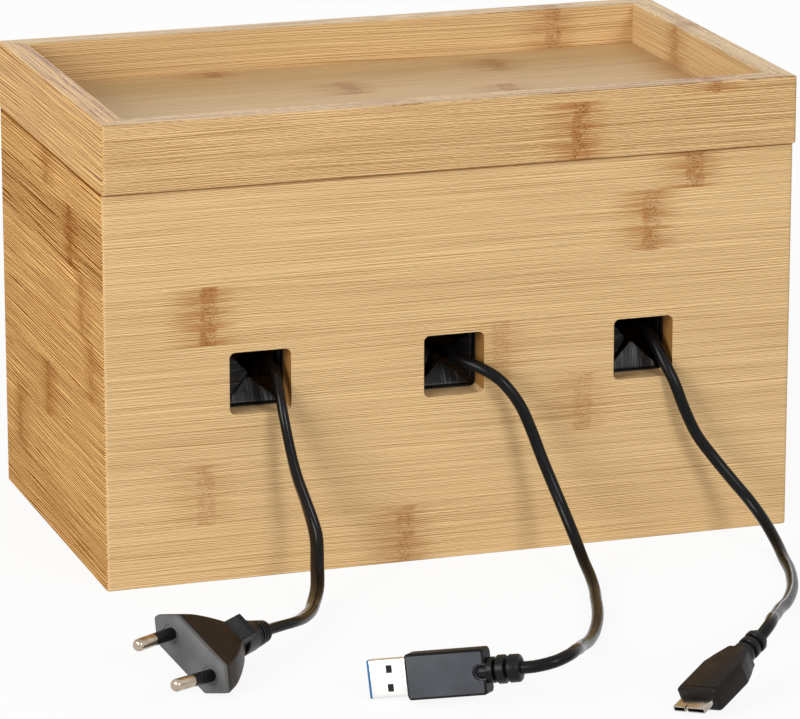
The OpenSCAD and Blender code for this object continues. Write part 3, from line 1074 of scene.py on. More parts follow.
@dataclass
class OutletInsert:
    """A slit rubber insert behind one outlet: its frame and the four flaps between its slits.

    Its sizes are in millimetres. The leans are the flaps' angles into the box in degrees, in Side's order.
    """

    name: str
    centre_x: float
    leans: tuple[float, float, float, float]
    centre_z: float = 67.0
    axis_y: float = -57.1
    base: float = 9.85
    relief: float = 1.7
    slit: float = 0.42
    tip: float = 0.4
    thick: float = 0.8
    rows: int = 22
    columns: int = 20
    crease: float = 0.22
    curl: float = 0.35
    edge: float = 0.28
    edge_share: float = 0.45
    frame_edge: float = 0.2
    seed_step: float = 3.7

    def reach(self) -> float:
        """Give how far a flap reaches from its base."""
        return self.base - self.slit - self.tip

    def half_width(self, out: float) -> float:
        """Give half a flap's width.

        Args:
            out: the distance from the flap's base.

        Returns:
            Half the width there.
        """
        wide = self.base - self.relief
        step = self.relief - self.slit
        return wide if out <= step else wide + (self.tip - wide) * (out - step) / (self.reach() - step)

    def lift(self, x: float, share: float, seed: float) -> float:
        """Give how far the rubber stands off its plane.

        Args:
            x: the place along the flap's base.
            share: the share of the way from the base to the tip.
            seed: the place in the noise that the creases come from.

        Returns:
            The distance off the plane.
        """
        out = share * self.reach()
        broad = noise.noise(Vector((x * 0.42, out * 0.2, seed)))
        fine = noise.noise(Vector((x * 0.9 + out * 0.5, out * 0.3, seed + 9)))
        wave = (broad + fine / 2) * self.crease - self.curl * share * share
        return wave * min(1.0, 2 * share)

    def flap(self, side: Side, lean: float, seed: float) -> Shape:
        """Shape one flap where it stands, leant into the box.

        Args:
            side: the side of the outlet that it hangs on.
            lean: how far it leans into the box, in degrees.
            seed: the place in the noise that its creases come from.

        Returns:
            The flap's shape.
        """
        rim = self.edge / self.reach()
        shares = [0.0, rim, *[rim + (1 - 2 * rim) * k / self.rows for k in range(1, self.rows + 1)], 1.0]
        last = len(shares) - 1
        shape = Shape()
        for face in (1, -1):
            for v, share in enumerate(shares):
                out = share * self.reach()
                for u in range(self.columns + 1):
                    x = (2 * u / self.columns - 1) * self.half_width(out)
                    at_edge = u in (0, self.columns) or v in (0, last)
                    half = self.thick / 2 * (self.edge_share if at_edge else 1.0)
                    z = self.thick / 2 + self.lift(x, share, seed) + face * half
                    shape.points.append(Vector((x, out, z)))
        row = self.columns + 1
        far = row * (last + 1)
        for v in range(last):
            for a in range(v * row, v * row + self.columns):
                b = a + row
                shape.faces.append((a, a + 1, b + 1, b))
                shape.faces.append((far + a, far + b, far + b + 1, far + a + 1))
        loop = [*range(self.columns), *range(self.columns, far - row, row)]
        loop += [*range(far - 1, far - row, -1), *range(far - row, 0, -row)]
        for a, b in zip(loop, loop[1:] + loop[:1]):
            shape.faces.append((b, a, far + a, far + b))
        stand = Matrix.Translation((self.centre_x, self.axis_y, self.centre_z))
        turn = Matrix.Rotation(math.radians(side.value), 4, "Y")
        drop = Matrix.Translation((0, 0, -self.base))
        tilt = Matrix.Rotation(math.radians(90 - lean), 4, "X")
        return shape.moved(Matrix.Scale(MM, 4) @ stand @ turn @ drop @ tilt)

    def build(
        self, frame: dict, frame_finish: bpy.types.Material, flap_finishes: dict[Side, bpy.types.Material]
    ) -> None:
        """Build the frame and its flaps.

        Args:
            frame: the loaded frame.
            frame_finish: the frame's finish.
            flap_finishes: each side's finish.
        """
        node = self.name + "_frame"
        low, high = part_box(node)
        rules = [(lambda p: at(p.y, low.y) or at(p.y, high.y), self.frame_edge * MM)]
        mesh = eased(frame["nodes"][node], rules)
        report(fitted(node + "_rubber", mesh, frame_finish, Fit(BOX_BODY, "insert_rubber", (node,))))
        for number, (side, lean) in enumerate(zip(Side, self.leans)):
            body = f"{self.name}_flap_{side.name.lower()}"
            shape = self.flap(side, lean, self.centre_x + self.seed_step * number)
            fit = Fit(body, "insert_rubber", (body,))
            report(fitted(body + "_rubber", shape.mesh(body), flap_finishes[side], fit, crease=50.0))


# ---------------------------------------------------------------- cords


@dataclass(frozen=True)
class Seat:
    """Where a plug lies: the middle of its moulding's front end in millimetres, and its turn in degrees."""

    place: Point3
    turn: Point3

    def matrix(self) -> Matrix:
        """Give the matrix from the plug's own millimetres to the row frame."""
        turn = Euler([math.radians(a) for a in self.turn], "XYZ").to_matrix().to_4x4()
        return Matrix.Scale(MM, 4) @ Matrix.Translation(self.place) @ turn


def swept(line: Sequence[Vector], outline: Sequence[Point2], side: Vector, turns: Sequence[float]) -> Shape:
    """Sweep an outline along a line, carrying its first axis along without twist of its own.

    Args:
        line: the points that it follows.
        outline: the outline's places, along the carried side and across it.
        side: where the outline's first axis points at the start.
        turns: the extra turn in radians at each point.

    Returns:
        The swept shape.
    """
    rings = []
    last = len(line) - 1
    for i, point in enumerate(line):
        ahead = (line[min(i + 1, last)] - line[max(i - 1, 0)]).normalized()
        side = (side - side.dot(ahead) * ahead).normalized()
        turned = Matrix.Rotation(turns[i], 3, ahead) @ side
        cross = ahead.cross(turned)
        rings.append([point + u * turned + v * cross for u, v in outline])
    return Shape().loft(rings)


def carried(line: Sequence[Vector], side: Vector) -> Vector:
    """Carry a side along a line without twist.

    Args:
        line: the line's points.
        side: where the side points at the start.

    Returns:
        Where it points at the end.
    """
    for a, b in zip(line, line[1:]):
        ahead = (b - a).normalized()
        side = (side - side.dot(ahead) * ahead).normalized()
    return side


def disc(radius: float, steps: int) -> list[Point2]:
    """Give a circle's outline."""
    angles = (math.tau * k / steps for k in range(steps))
    return [(radius * math.cos(a), radius * math.sin(a)) for a in angles]


# Along one ring and the groove behind it: shares of the pitch and of the ring's rise over the core.
RING_STEPS = ((0.0, 0.65), (0.1, 1.0), (0.5, 1.0), (0.62, 0.65), (0.68, 0.0), (0.97, 0.0))
LAST_STEP = 0.3
LAST_DROP = 0.4


def ringed_relief(
    start: float, length: float, near: float, far: float, core: float, rings: int
) -> list[Point2]:
    """Give the profile of a ribbed relief along X, whose rings grow towards the plug.

    Args:
        start: where it starts.
        length: how long it is.
        near: the first ring's radius.
        far: the last ring's radius.
        core: the radius between the rings.
        rings: how many rings it has.

    Returns:
        Places along X and the radius at each.
    """
    pitch = length / rings
    profile = []
    for k in range(rings):
        rise = near + (far - near) * (k + 0.5) / rings - core
        profile += [(start + (k + share) * pitch, core + height * rise) for share, height in RING_STEPS]
    profile[-1] = (start + length - LAST_STEP, core)
    profile.append((start + length, core - LAST_DROP))
    return profile


def moulded(shapes: dict[str, tuple[Shape, str, Matrix]], finishes: Finishes) -> list[bpy.types.Object]:
    """Make the pieces that each stand for one moulded or pressed node.

    Args:
        shapes: by node, the piece's shape, its finish's name and its matrix to the row frame.
        finishes: the finishes, by name.

    Returns:
        The pieces.
    """
    pieces = []
    for node, (shape, finish, matrix) in shapes.items():
        fit = Fit(BOX_BODY, RECORD_SLOTS.get(finish, finish), (node,))
        pieces.append(fitted(node + "_part", shape.moved(matrix).mesh(node), finishes[finish], fit))
    return pieces


def coil_tie(frame: dict, node: str, finishes: Finishes) -> bpy.types.Object:
    """Build the tie round a coil, with its edges rounded.

    Args:
        frame: the loaded frame.
        node: the tie's node.
        finishes: the finishes, by name.

    Returns:
        The piece.
    """
    mesh = eased(frame["nodes"][node], [(lambda p: True, 0.0002)])
    return fitted(node + "_strap", mesh, finishes["tie"], Fit(BOX_BODY, "moulded_grey", (node,)))


def report_cord(cord: bpy.types.Object, pieces: Iterable[bpy.types.Object], line: Sequence[Vector]) -> None:
    """Log a cord with the pieces on it, and its length in metres.

    Args:
        cord: the cord.
        pieces: what is on it.
        line: its middle line, in metres.
    """
    for piece in [*pieces, cord]:
        report(piece)
    LOG.info("%s: %.3f m long", cord.name, sum((b - a).length for a, b in zip(line, line[1:])))


# ---------------------------------------------------------------- mains lead


@dataclass
class MainsLead:
    """The lead with its two-pole plug, its coil inside the box, and the connector for the appliance.

    Its sizes are in millimetres and its angles in degrees, and its length is in metres. In the plug's own
    frame X runs from the face to the lead and Y from pin to pin. The twists are pairs of a distance from the
    plug and the lead's turn there.
    """

    seat: Seat = Seat((-121, -170.5, 12), (34.6, 5.6, 39.5))
    width: float = 35.3
    thick: float = 12.7
    face: float = 1.6
    grip_from: float = 18.4
    grip_to: float = 25.1
    grip_width: float = 8.4
    grip_height: float = 15.8
    grip_low: float = 11.6
    grip_lead: float = 1.2
    ribs: int = 5
    rib_pitch: float = 0.94
    neck_to: float = 32.6
    relief_to: float = 41.2
    pin_pitch: float = 18.6
    pin_radius: float = 2.0
    pin_length: float = 19.0
    pin_toe: float = 1.5
    pin_tip: float = 1.4
    sleeve: float = 10.0
    core: float = 1.7
    core_gap: float = 1.0
    twists: tuple[Point2, ...] = (
        (0, 48), (20, 56), (31, 56), (41, 76), (51, 76), (62, 87),
        (75, 92), (92, 118), (110, 127), (131, 131), (143, 152),
    )
    untwisted: float = 320.0
    coil_at: Point2 = (-74, -25)
    coil_radii: tuple[float, ...] = (30.6, 27.0, 23.4)
    coil_rows: tuple[float, ...] = (18.1, 12.5)
    coil_from: float = 55.7
    coil_to: float = 258.5
    coil_turns: int = 5
    coil_step: int = 12
    coil_change: float = 0.16
    spacing: float = 2.2
    connector_at: Point3 = (-38, -51, 9)
    connector_size: Point2 = (14.4, 9)
    length: float = 1.22

    def outline(self, width: float, thick: float, radius: float = 1.1) -> list[Point2]:
        """Give the plug's six-cornered outline, seen along its pins."""
        a, b = width / 2, thick / 2
        return rounded([(a, 0), (a - b, b), (b - a, b), (-a, 0), (b - a, -b), (a - b, -b)], radius, 5)

    def face_plate(self) -> Shape:
        """Shape the grey plate that the pins stand in, with a shallow ring round each sleeve.

        Returns:
            The plate.
        """
        stations = ((0.0, 0.75), (0.2, 0.42), (0.55, 0.3), (self.face, 0.3))
        plate = Shape().loft([
            ring(x, self.outline(self.width - 2 * in_by, self.thick - 2 * in_by)) for x, in_by in stations
        ])
        poles = (-self.pin_pitch / 2, self.pin_pitch / 2)
        return plate.without(*(Shape().lathe([(-0.2, 3.1), (0.25, 2.95)], (y, 0.0)) for y in poles))

    def body(self) -> Shape:
        """Shape the moulding from the face to the grip, wide and flat at first and then waisted.

        Returns:
            The moulding.
        """
        stations = [
            (self.face, 35.3, 12.7), (4.5, 33.9, 12.7), (8, 31.8, 12.6), (12, 28.1, 12.4), (15, 24.9, 12.2),
            (18.4, 20.6, 11.9), (21.5, 15.6, 11.4), (24, 12.3, 11), (self.grip_to, 11.4, 10.8),
        ]
        rings = [
            ring(self.face, self.outline(self.width - 0.7, self.thick - 0.7)),
            ring(self.face + 0.12, self.outline(self.width - 0.25, self.thick - 0.25)),
        ]
        for x, width, thick in spline(stations, 1.0)[1:]:
            softness = min(3.0, thick * 0.1 + x * 0.08)
            outline = self.outline(min(width, self.width), min(thick, self.thick), softness)
            rings.append(ring(x, outline))
        return Shape().loft(rings)

    def grip(self) -> Shape:
        """Shape the thumb grip: a ramp up from the body with five ribs, and a flat with a square shoulder.

        Returns:
            The grip.
        """
        start = self.grip_from - self.grip_lead
        rings = []
        profile = [(start, 0.0), (start + 0.5, 0.0)]
        for k in range(self.ribs):
            at_x = start + 0.8 + k * self.rib_pitch
            profile += [(at_x, -0.45), (at_x + 0.18, 0.0), (at_x + 0.58, 0.0), (at_x + 0.76, -0.45)]
        profile += [(start + 5.6, 0.0), (self.grip_to - 0.25, 0.0), (self.grip_to, -0.4)]
        for x, drop in profile:
            share = min(1.0, (x - start) / (self.grip_to - 0.6 - start))
            height = self.grip_low + (self.grip_height - self.grip_low) * share + 2 * drop
            width = self.grip_width + (0.0 if x < self.grip_to else -0.5)
            rings.append(ring(x, block_outline(width, height, 0.45, 3)))
        return Shape().loft(rings)

    def pin_matrix(self, side: int) -> Matrix:
        """Give the matrix of a pin, whose base stands further out than its tip."""
        toe = Matrix.Rotation(math.radians(side * self.pin_toe), 4, "Z")
        return Matrix.Translation((0, side * self.pin_pitch / 2, 0)) @ toe

    def on_both(self, profile: Sequence[Point2]) -> Shape:
        """Turn a profile about the line of each pin.

        Args:
            profile: the places along a pin and the radius at each.

        Returns:
            The two round pieces.
        """
        low, high = (Shape().lathe(profile).moved(self.pin_matrix(side)) for side in (-1, 1))
        return joined(low, high)

    def pins(self) -> Shape:
        """Shape the two round pins beyond their sleeves.

        Returns:
            The pins.
        """
        straight = self.pin_radius - self.pin_tip
        tip = [(x, straight + r) for x, r in dome(-self.pin_length, self.pin_tip, 90, 8)]
        return self.on_both([(-self.pin_length, 0.1), *tip, (-self.sleeve - 0.01, self.pin_radius)])

    def sleeves(self) -> Shape:
        """Shape the insulating sleeves, each with a fine moulded collar.

        Returns:
            The sleeves.
        """
        r = self.pin_radius
        return self.on_both([
            (-self.sleeve, r - 0.25), (-self.sleeve + 0.25, r - 0.04), (-6.1, r - 0.02), (-6.0, r - 0.2),
            (-5.75, r - 0.2), (-5.65, r), (0.4, r),
        ])

    def connector(self) -> Shape:
        """Shape the two-pole connector, with its sockets, its waist and its neck.

        Returns:
            The connector.
        """
        x0, y0, z0 = self.connector_at
        stations = (
            (8.0, 0.9), (8.5, 0.35), (10.0, 0.0), (13.0, 0.0), (16.0, 0.7),
            (19.0, 0.7), (21.5, 0.0), (31.4, 0.0), (31.8, 0.15), (32.0, 0.5),
        )
        wide, thick = self.connector_size
        rings = [ring(x, block_outline(wide - 2 * by, thick - 2 * by, 4.3, 6)) for x, by in stations]
        block = Shape().loft(rings)
        tools = [Shape().lathe([(24.0, 1.7), (33.0, 1.7)], (y, 0.0)) for y in (-3.4, 3.4)]
        sections = ((0.0, 6.0, 4.4), (0.6, 6.5, 5.0), (8.0, 6.8, 6.6))
        neck = Shape().loft([ring(x, block_outline(w, h, 3.0, 6)) for x, w, h in sections])
        return joined(block.without(*tools), neck).moved(Matrix.Translation((x0, y0, z0 + thick / 2)))

    def coil(self) -> list[Point3]:
        """Give the points down the middle of the coil's turns, from the lead's end to the tail's.

        Returns:
            The points.
        """
        upper, lower = self.coil_rows
        slots = [(r, upper) for r in self.coil_radii] + [(r, lower) for r in reversed(self.coil_radii)]
        sweep = self.coil_turns * 360 + self.coil_to - self.coil_from
        count = round(sweep / self.coil_step)
        points = []
        for k in range(count + 1):
            place = k / count * len(slots)
            slot = min(int(place), len(slots) - 1)
            share = min(max((place - slot - 1 + self.coil_change) / self.coil_change, 0.0), 1.0)
            share = share * share * (3 - 2 * share)
            here, after = slots[slot], slots[min(slot + 1, len(slots) - 1)]
            radius, height = (a + (b - a) * share for a, b in zip(here, after))
            angle = math.radians(self.coil_from + sweep * k / count)
            x, y = self.coil_at
            points.append((x + radius * math.cos(angle), y + radius * math.sin(angle), height))
        return points

    def route(self) -> list[Vector]:
        """Give the lead's middle line in metres, from the connector by the coil to the plug.

        Returns:
            The line's points.
        """
        from_plug = [
            (-91.2, -145.9, 8.2), (-86.3, -142.5, 7.9), (-82.6, -140.3, 7.7), (-78, -136.9, 7.1),
            (-72.6, -130.2, 5.7), (-66.5, -119.6, 4.3), (-62.5, -110.5, 4), (-58.5, -101.5, 6),
            (-56, -93.5, 11), (-54.5, -87.5, 19), (-56, -83, 28), (-58.5, -79.5, 37.5), (-60, -76.5, 47),
            (-61, -73, 57), (-61, -67.5, 65.5), (-61.2, -60.5, 70.3), (-62, -53, 71.5), (-62.5, -45, 70.8),
            (-63, -38.5, 67), (-63, -33, 58.5), (-61.5, -32.5, 49.5), (-58.5, -32.5, 41.5),
            (-54.5, -31.5, 35), (-50.5, -29, 30), (-48, -24, 26.5), (-47.5, -16.5, 25), (-51, -8, 23.5),
        ]
        to_connector = [
            (-73, -55.4, 12.5), (-64, -55, 12.5), (-54.5, -53, 13), (-45.5, -51.3, 13.4),
            (-37, -51, 13.5),
        ]
        stations = from_plug + self.coil() + to_connector
        return [point * MM for point in spline(stations[::-1], self.spacing)]

    def from_plug(self, line: Sequence[Vector]) -> list[float]:
        """Measure from each point of the lead to its end at the plug, in millimetres.

        Args:
            line: the lead's middle line, in metres.

        Returns:
            A distance for each point.
        """
        distances = [0.0]
        for a, b in zip(line[::-1], line[-2::-1]):
            distances.append(distances[-1] + (b - a).length / MM)
        return distances[::-1]

    def twist(self, distance: float) -> float:
        """Give the flat lead's own turn at a distance from the plug.

        Args:
            distance: the distance along the lead, in millimetres.

        Returns:
            The turn in radians.
        """
        for (near, low), (far, high) in zip(self.twists, self.twists[1:]):
            if distance < far:
                t = (distance - near) / (far - near)
                return math.radians(low + (high - low) * t * t * (3 - 2 * t))
        return math.radians(self.twists[-1][1])

    def lead(self) -> tuple[Shape, list[Vector]]:
        """Shape the flat two-core lead, its flat side turned to the plug's at that end.

        Returns:
            The lead's shape in metres, and its middle line.
        """
        line = self.route()
        outline = []
        for end in (MM, -MM):
            for a in (math.radians(-100 + 25 * k) for k in range(9)):
                out = self.core_gap + self.core * math.cos(a)
                outline.append((end * out, end * self.core * math.sin(a)))
        start_side = Vector((0, 0, 1))
        ahead = (line[-1] - line[-2]).normalized()
        wanted = self.seat.matrix().to_3x3() @ Vector((0, 1, 0))
        wanted = (wanted - wanted.dot(ahead) * ahead).normalized()
        found = carried(line, start_side)
        turn = math.atan2(found.cross(wanted).dot(ahead), found.dot(wanted))
        if abs(turn) > math.pi / 2:
            turn -= math.copysign(math.pi, turn)
        turns = []
        for distance in self.from_plug(line):
            t = min(1.0, max(0.0, (self.untwisted - distance) / (self.untwisted - self.twists[-1][0])))
            turns.append((turn + self.twist(distance)) * t * t * (3 - 2 * t))
        return swept(line, outline, start_side, turns), line

    def build(self, frame: dict, finishes: Finishes) -> None:
        """Build the lead and everything on it.

        Args:
            frame: the loaded frame.
            finishes: the finishes, by name.
        """
        seat = self.seat.matrix()
        x, end = self.grip_to, self.neck_to
        neck = [(x - 0.2, 5.4), (x + 0.2, 5.8), (end - 0.5, 5.05), (end, 4.4)]
        rings = ringed_relief(end + 0.1, self.relief_to - end - 0.1, 4.9, 3.5, 3.0, 4)
        relief = Shape().lathe([*neck, *rings], steps=40)
        pieces = moulded({
            "mains_plug_face": (self.face_plate(), "plug_face", seat),
            "mains_plug_body": (self.body(), "plug_body", seat),
            "mains_plug_grip": (self.grip(), "moulded_black", seat),
            "mains_plug_relief": (relief, "moulded_black", seat),
            "mains_pins": (self.pins(), "nickel", seat),
            "mains_pin_sleeves": (self.sleeves(), "insert_rubber", seat),
            "appliance_connector": (self.connector(), "moulded_black", Matrix.Scale(MM, 4)),
        }, finishes)
        pieces.append(coil_tie(frame, "mains_lead_tie", finishes))
        shape, line = self.lead()
        fit = Fit(BOX_BODY, "cord_sheath", ("mains_lead", "mains_lead_coil", "mains_lead_tail"))
        cord = fitted("mains_lead_cord", shape.mesh("lead"), finishes["cord_sheath"], fit, crease=60.0)
        report_cord(cord, pieces, line)


# ---------------------------------------------------------------- data cord


@dataclass
class DataCord:
    """The round data cord with its large and its small plug, and its coil inside the box.

    Its sizes are in millimetres, and its length is in metres. In each plug's own frame X runs from the
    cover's front to the cord. The large plug is wide along Z and the small one along Y.
    """

    large: Seat = Seat((-60, -201, 8.4), (-10, -10, -35))
    small: Seat = Seat((20, -240, 4.9), (-10, -20, 33))
    radius: float = 1.95
    shell_length: float = 12.6
    shell_width: float = 12.0
    shell_thick: float = 4.5
    shell_wall: float = 0.3
    windows: tuple[Point2, Point2, float] = ((-6.5, -4.6), (1.6, 3.0), 2.4)
    window_rows: Point2 = (-4.1, 1.7)
    dimple_out: float = 0.75
    lip: float = 0.8
    core_from: float = -7.2
    chamfer: float = 0.75
    cover_length: float = 25.6
    cover_width: float = 14.3
    cover_thick: float = 8.0
    slot_from: float = 21.7
    slot_half: float = 2.6
    small_length: float = 5.4
    small_width: float = 12.2
    small_thick: float = 1.85
    small_cover: float = 24.0
    cover_half: float = 7.75
    small_cover_thick: float = 7.6
    coil_at: Point2 = (34, -32)
    coil_radius: float = 21.0
    coil_low: float = 11.8
    coil_pitch: float = 4.0
    coil_turns: float = 1.985
    coil_sides: int = 24
    spacing: float = 1.8
    length: float = 0.95

    def large_shell(self) -> Shape:
        """Shape the large plug's folded steel shell with its four square windows and a dimple each side.

        Returns:
            The shell.
        """
        x0 = -self.shell_length + self.lip
        sides = (self.shell_thick, self.shell_width)
        outer = block_outline(*sides, 0.7)
        inner = block_outline(*(side - 2 * self.shell_wall for side in sides), 0.45)
        body = Shape().loft([ring(x0, outer), ring(-0.02, outer)])
        tools = [Shape().loft([ring(x0 - 1, inner), ring(-1.0, inner)])]
        (x1, x2), (near, far), height = self.windows
        for z in self.window_rows:
            for low, high in ((-far, -near), (near, far)):
                tools.append(Shape().block((x1, low, z), (x2, high, z + height)))
        dimple = [(x, max(0.02, r)) for x, r in dome(-1.0, 1.0, 180, 18)]
        for y in (-1, 1):
            turn = Matrix.Rotation(math.radians(90 * y), 4, "Z")
            stand = Matrix.Translation((-1.2, y * (self.shell_thick / 2 + self.dimple_out), 0))
            tools.append(Shape().lathe(dimple, steps=24).moved(stand @ turn))
        return body.without(*tools)

    def large_tongue(self) -> Shape:
        """Shape the large plug's blue tongue, with the lip round the shell's mouth that it carries.

        Returns:
            The tongue.
        """
        x0 = -self.shell_length
        lip = Shape().loft([ring(x, block_outline(4.3, 11.8, 0.6)) for x in (x0, x0 + self.lip - 0.01)])
        lip = lip.without(Shape().block((x0 - 1, -1.7, -5.3), (x0 + 1, -0.05, 5.3)))
        return joined(lip, Shape().block((x0 + self.lip, 0.05, -5.6), (self.core_from - 0.05, 1.9, 5.6)))

    def large_cover(self) -> Shape:
        """Shape the large plug's flat cover with its chamfers, its front lip and the slot for its relief.

        Returns:
            The cover.
        """
        stations = (
            (0.0, 0.7), (0.3, 0.3), (0.75, 0.06), (1.2, 0.0),
            (24.7, 0.0), (25.2, 0.2), (self.cover_length, 0.6),
        )
        rings = []
        for x, in_by in stations:
            a, b, c = self.cover_thick / 2 - in_by, self.cover_width / 2 - in_by, self.chamfer
            corners = [
                (a, c - b), (a, b - c), (a - c, b), (c - a, b),
                (-a, b - c), (-a, c - b), (c - a, -b), (a - c, -b),
            ]
            rings.append(ring(x, rounded(corners, 0.12, 2)))
        cover = Shape().loft(rings)
        tools = []
        half = self.slot_half
        nose = [(self.slot_from + x, y) for x, y in dome(0.0, half, 90, 6)]
        plan = [(29.0, -half), *((x, -y) for x, y in nose[:0:-1]), *nose, (29.0, half)]
        for y in (-1, 1):
            levels = sorted((y * (self.cover_thick / 2 - 0.9), y * (self.cover_thick / 2 + 0.5)))
            tools.append(Shape().loft([[Vector((px, level, pz)) for px, pz in plan] for level in levels]))
        return cover.without(*tools)

    def large_relief(self) -> Shape:
        """Shape the large plug's ringed relief and the round tongue of it that lies in the cover.

        Returns:
            The relief.
        """
        start = self.cover_length
        shape = Shape().lathe([(start + x, r) for x, r in (
            (-0.6, 3.6), (0.1, 3.7), (0.3, 4.05), (2.1, 4.1), (2.35, 3.8), (2.5, 2.7), (3.1, 2.7),
            (3.2, 4.25), (3.5, 4.5), (5.6, 4.5), (5.9, 4.2), (6.0, 2.7), (6.8, 2.7), (6.9, 4.15),
            (7.2, 4.4), (9.9, 4.35), (10.4, 4.0), (10.7, 3.4), (10.9, 2.3),
        )], steps=40)
        nose = [(x, max(0.05, r)) for x, r in dome(21.9, 2.4, 90, 8)]
        for y in (-1, 1):
            tongue = Shape().lathe([*nose, (start + 0.5, 2.4)], (y * (self.cover_thick / 2 - 2.1), 0.0))
            shape = joined(shape, tongue)
        return shape

    def small_shell(self) -> Shape:
        """Shape the small plug's shell: two steel noses side by side with a slot between them.

        Returns:
            The shell.
        """
        x0 = -self.small_length
        outline = block_outline(self.small_width, self.small_thick, 0.45, 3)
        body = Shape().loft([ring(x, outline) for x in (x0, -0.02)])
        slot = Shape().block((x0 - 1, 0.75, -2), (x0 + 1.4, 1.45, 2))
        wide = Shape().block((x0 - 1, -5.8, -0.6), (x0 + 3.4, 0.5, 0.6))
        narrow = Shape().block((x0 - 1, 1.7, -0.6), (x0 + 3.4, 5.8, 0.6))
        return body.without(slot, wide, narrow)

    def small_plan(self, in_by: float) -> list[Point2]:
        """Give the small cover's plan, drawn in by a distance.

        Args:
            in_by: the distance.

        Returns:
            The plan's outline.
        """
        half = self.cover_half - in_by
        end = self.small_cover - 0.5 * in_by
        corners = [
            (0.5 * in_by, -half), (14.8, -half), (18.8, -half + 1.5), (22.3, -4.6 + in_by),
            (end, -4.1 + in_by), (end, 4.1 - in_by),
            (22.3, 4.6 - in_by), (18.8, half - 1.5), (14.8, half), (0.5 * in_by, half),
        ]
        return rounded(corners, 1.1, 3)

    def small_cover_shape(self) -> Shape:
        """Shape the small plug's cover: a flat top and bottom, soft chamfers and two small pits on top.

        Returns:
            The cover.
        """
        half = self.small_cover_thick / 2
        layers = ((-half, 0.9), (-half + 0.12, 0.7), (-half + 0.7, 0.08), (-half + 1.1, 0.0),
                  (half - 1.1, 0.0), (half - 0.7, 0.08), (half - 0.12, 0.7), (half, 0.9))
        rings = [[Vector((x, y, z)) for x, y in self.small_plan(in_by)] for z, in_by in layers]
        cover = Shape().loft(rings)
        tools = []
        for y in (-3.2, 3.2):
            pit = Shape().lathe([(0.0, 0.02), (0.5, 0.42), (1.0, 0.5)], steps=16)
            stand = Matrix.Translation((15.5, y, half - 0.45)) @ Matrix.Rotation(math.radians(-90), 4, "Y")
            tools.append(pit.moved(stand))
        for z in (-half, half):
            tools.append(Shape().block((1.55, -9.0, z - 0.18), (1.9, 9.0, z + 0.18)))
        return cover.without(*tools)

    def route(self) -> list[Vector]:
        """Give the cord's middle line in metres, from the small plug by the coil to the large one.

        Returns:
            The line's points.
        """
        from_small = [
            (43.6, -224.7, 15.1), (46.8, -222.6, 16.5), (51.5, -218.6, 18.6), (55, -213, 18.7),
            (57.5, -207.5, 17.1), (61, -198.5, 13.5), (64.5, -190, 10), (68, -181, 7), (73, -172.5, 5.2),
            (78, -164, 4), (83.5, -156, 3), (88.5, -147.5, 2.4), (93, -138.5, 2), (96.5, -129.5, 2),
            (99.5, -120, 2), (101.5, -110.5, 2.4), (103, -101, 4.5), (102.5, -92, 9), (100, -85, 14.5),
            (95, -80, 21.5), (89.5, -76.5, 29), (84, -74.5, 37), (80, -73, 46), (77, -71, 55),
            (74, -66.5, 63), (72.5, -60, 69), (71.7, -52.5, 71.5), (71, -44.5, 71), (71, -36.5, 67.5),
            (71, -29.5, 61.5), (71, -24, 53.5), (70, -20, 44.5), (68, -17, 35.5), (64.5, -14.5, 27),
            (59, -12.5, 20), (51.5, -11.5, 15), (43, -11, 12.5),
        ]
        to_large = [
            (27.5, -11, 20), (19.5, -13, 23), (13, -16.5, 29), (8.5, -20.5, 36.5), (5.5, -24.5, 44.5),
            (3.5, -28.5, 52.5), (2, -33, 60), (1, -39.5, 65), (0.5, -47, 67.5), (1, -55, 67.8),
            (3.5, -62, 67), (8.5, -68.5, 65.5), (14.5, -73, 61.5), (20, -75.5, 54), (23.5, -77.5, 45.5),
            (26.5, -80, 36), (29.5, -83, 27), (32, -87.5, 18.5), (33.5, -94, 11), (33.5, -102, 6),
            (32.5, -111, 3.6), (30.5, -120.5, 2.2), (27.5, -130, 2), (24.5, -139.5, 2), (21, -149, 2),
            (17, -158, 2), (12.5, -167, 2.6), (7.5, -176, 4), (2.5, -184.5, 6.2), (-1.5, -193.5, 9),
            (-5, -202.5, 12), (-8.4, -211, 15), (-11.6, -217.2, 16.9), (-15.8, -222.6, 17.5),
            (-21.5, -225.2, 16.8), (-27.4, -223.7, 15.4), (-32.5, -220.5, 14.4),
        ]
        coil = []
        x, y = self.coil_at
        r = self.coil_radius
        count = round(self.coil_turns * self.coil_sides)
        for turn in (self.coil_turns * k / count for k in range(count + 1)):
            angle = math.tau * (0.25 + turn)
            height = self.coil_low + self.coil_pitch * turn
            coil.append((x + r * math.cos(angle), y + r * math.sin(angle), height))
        return [point * MM for point in spline(from_small + coil + to_large, self.spacing)]

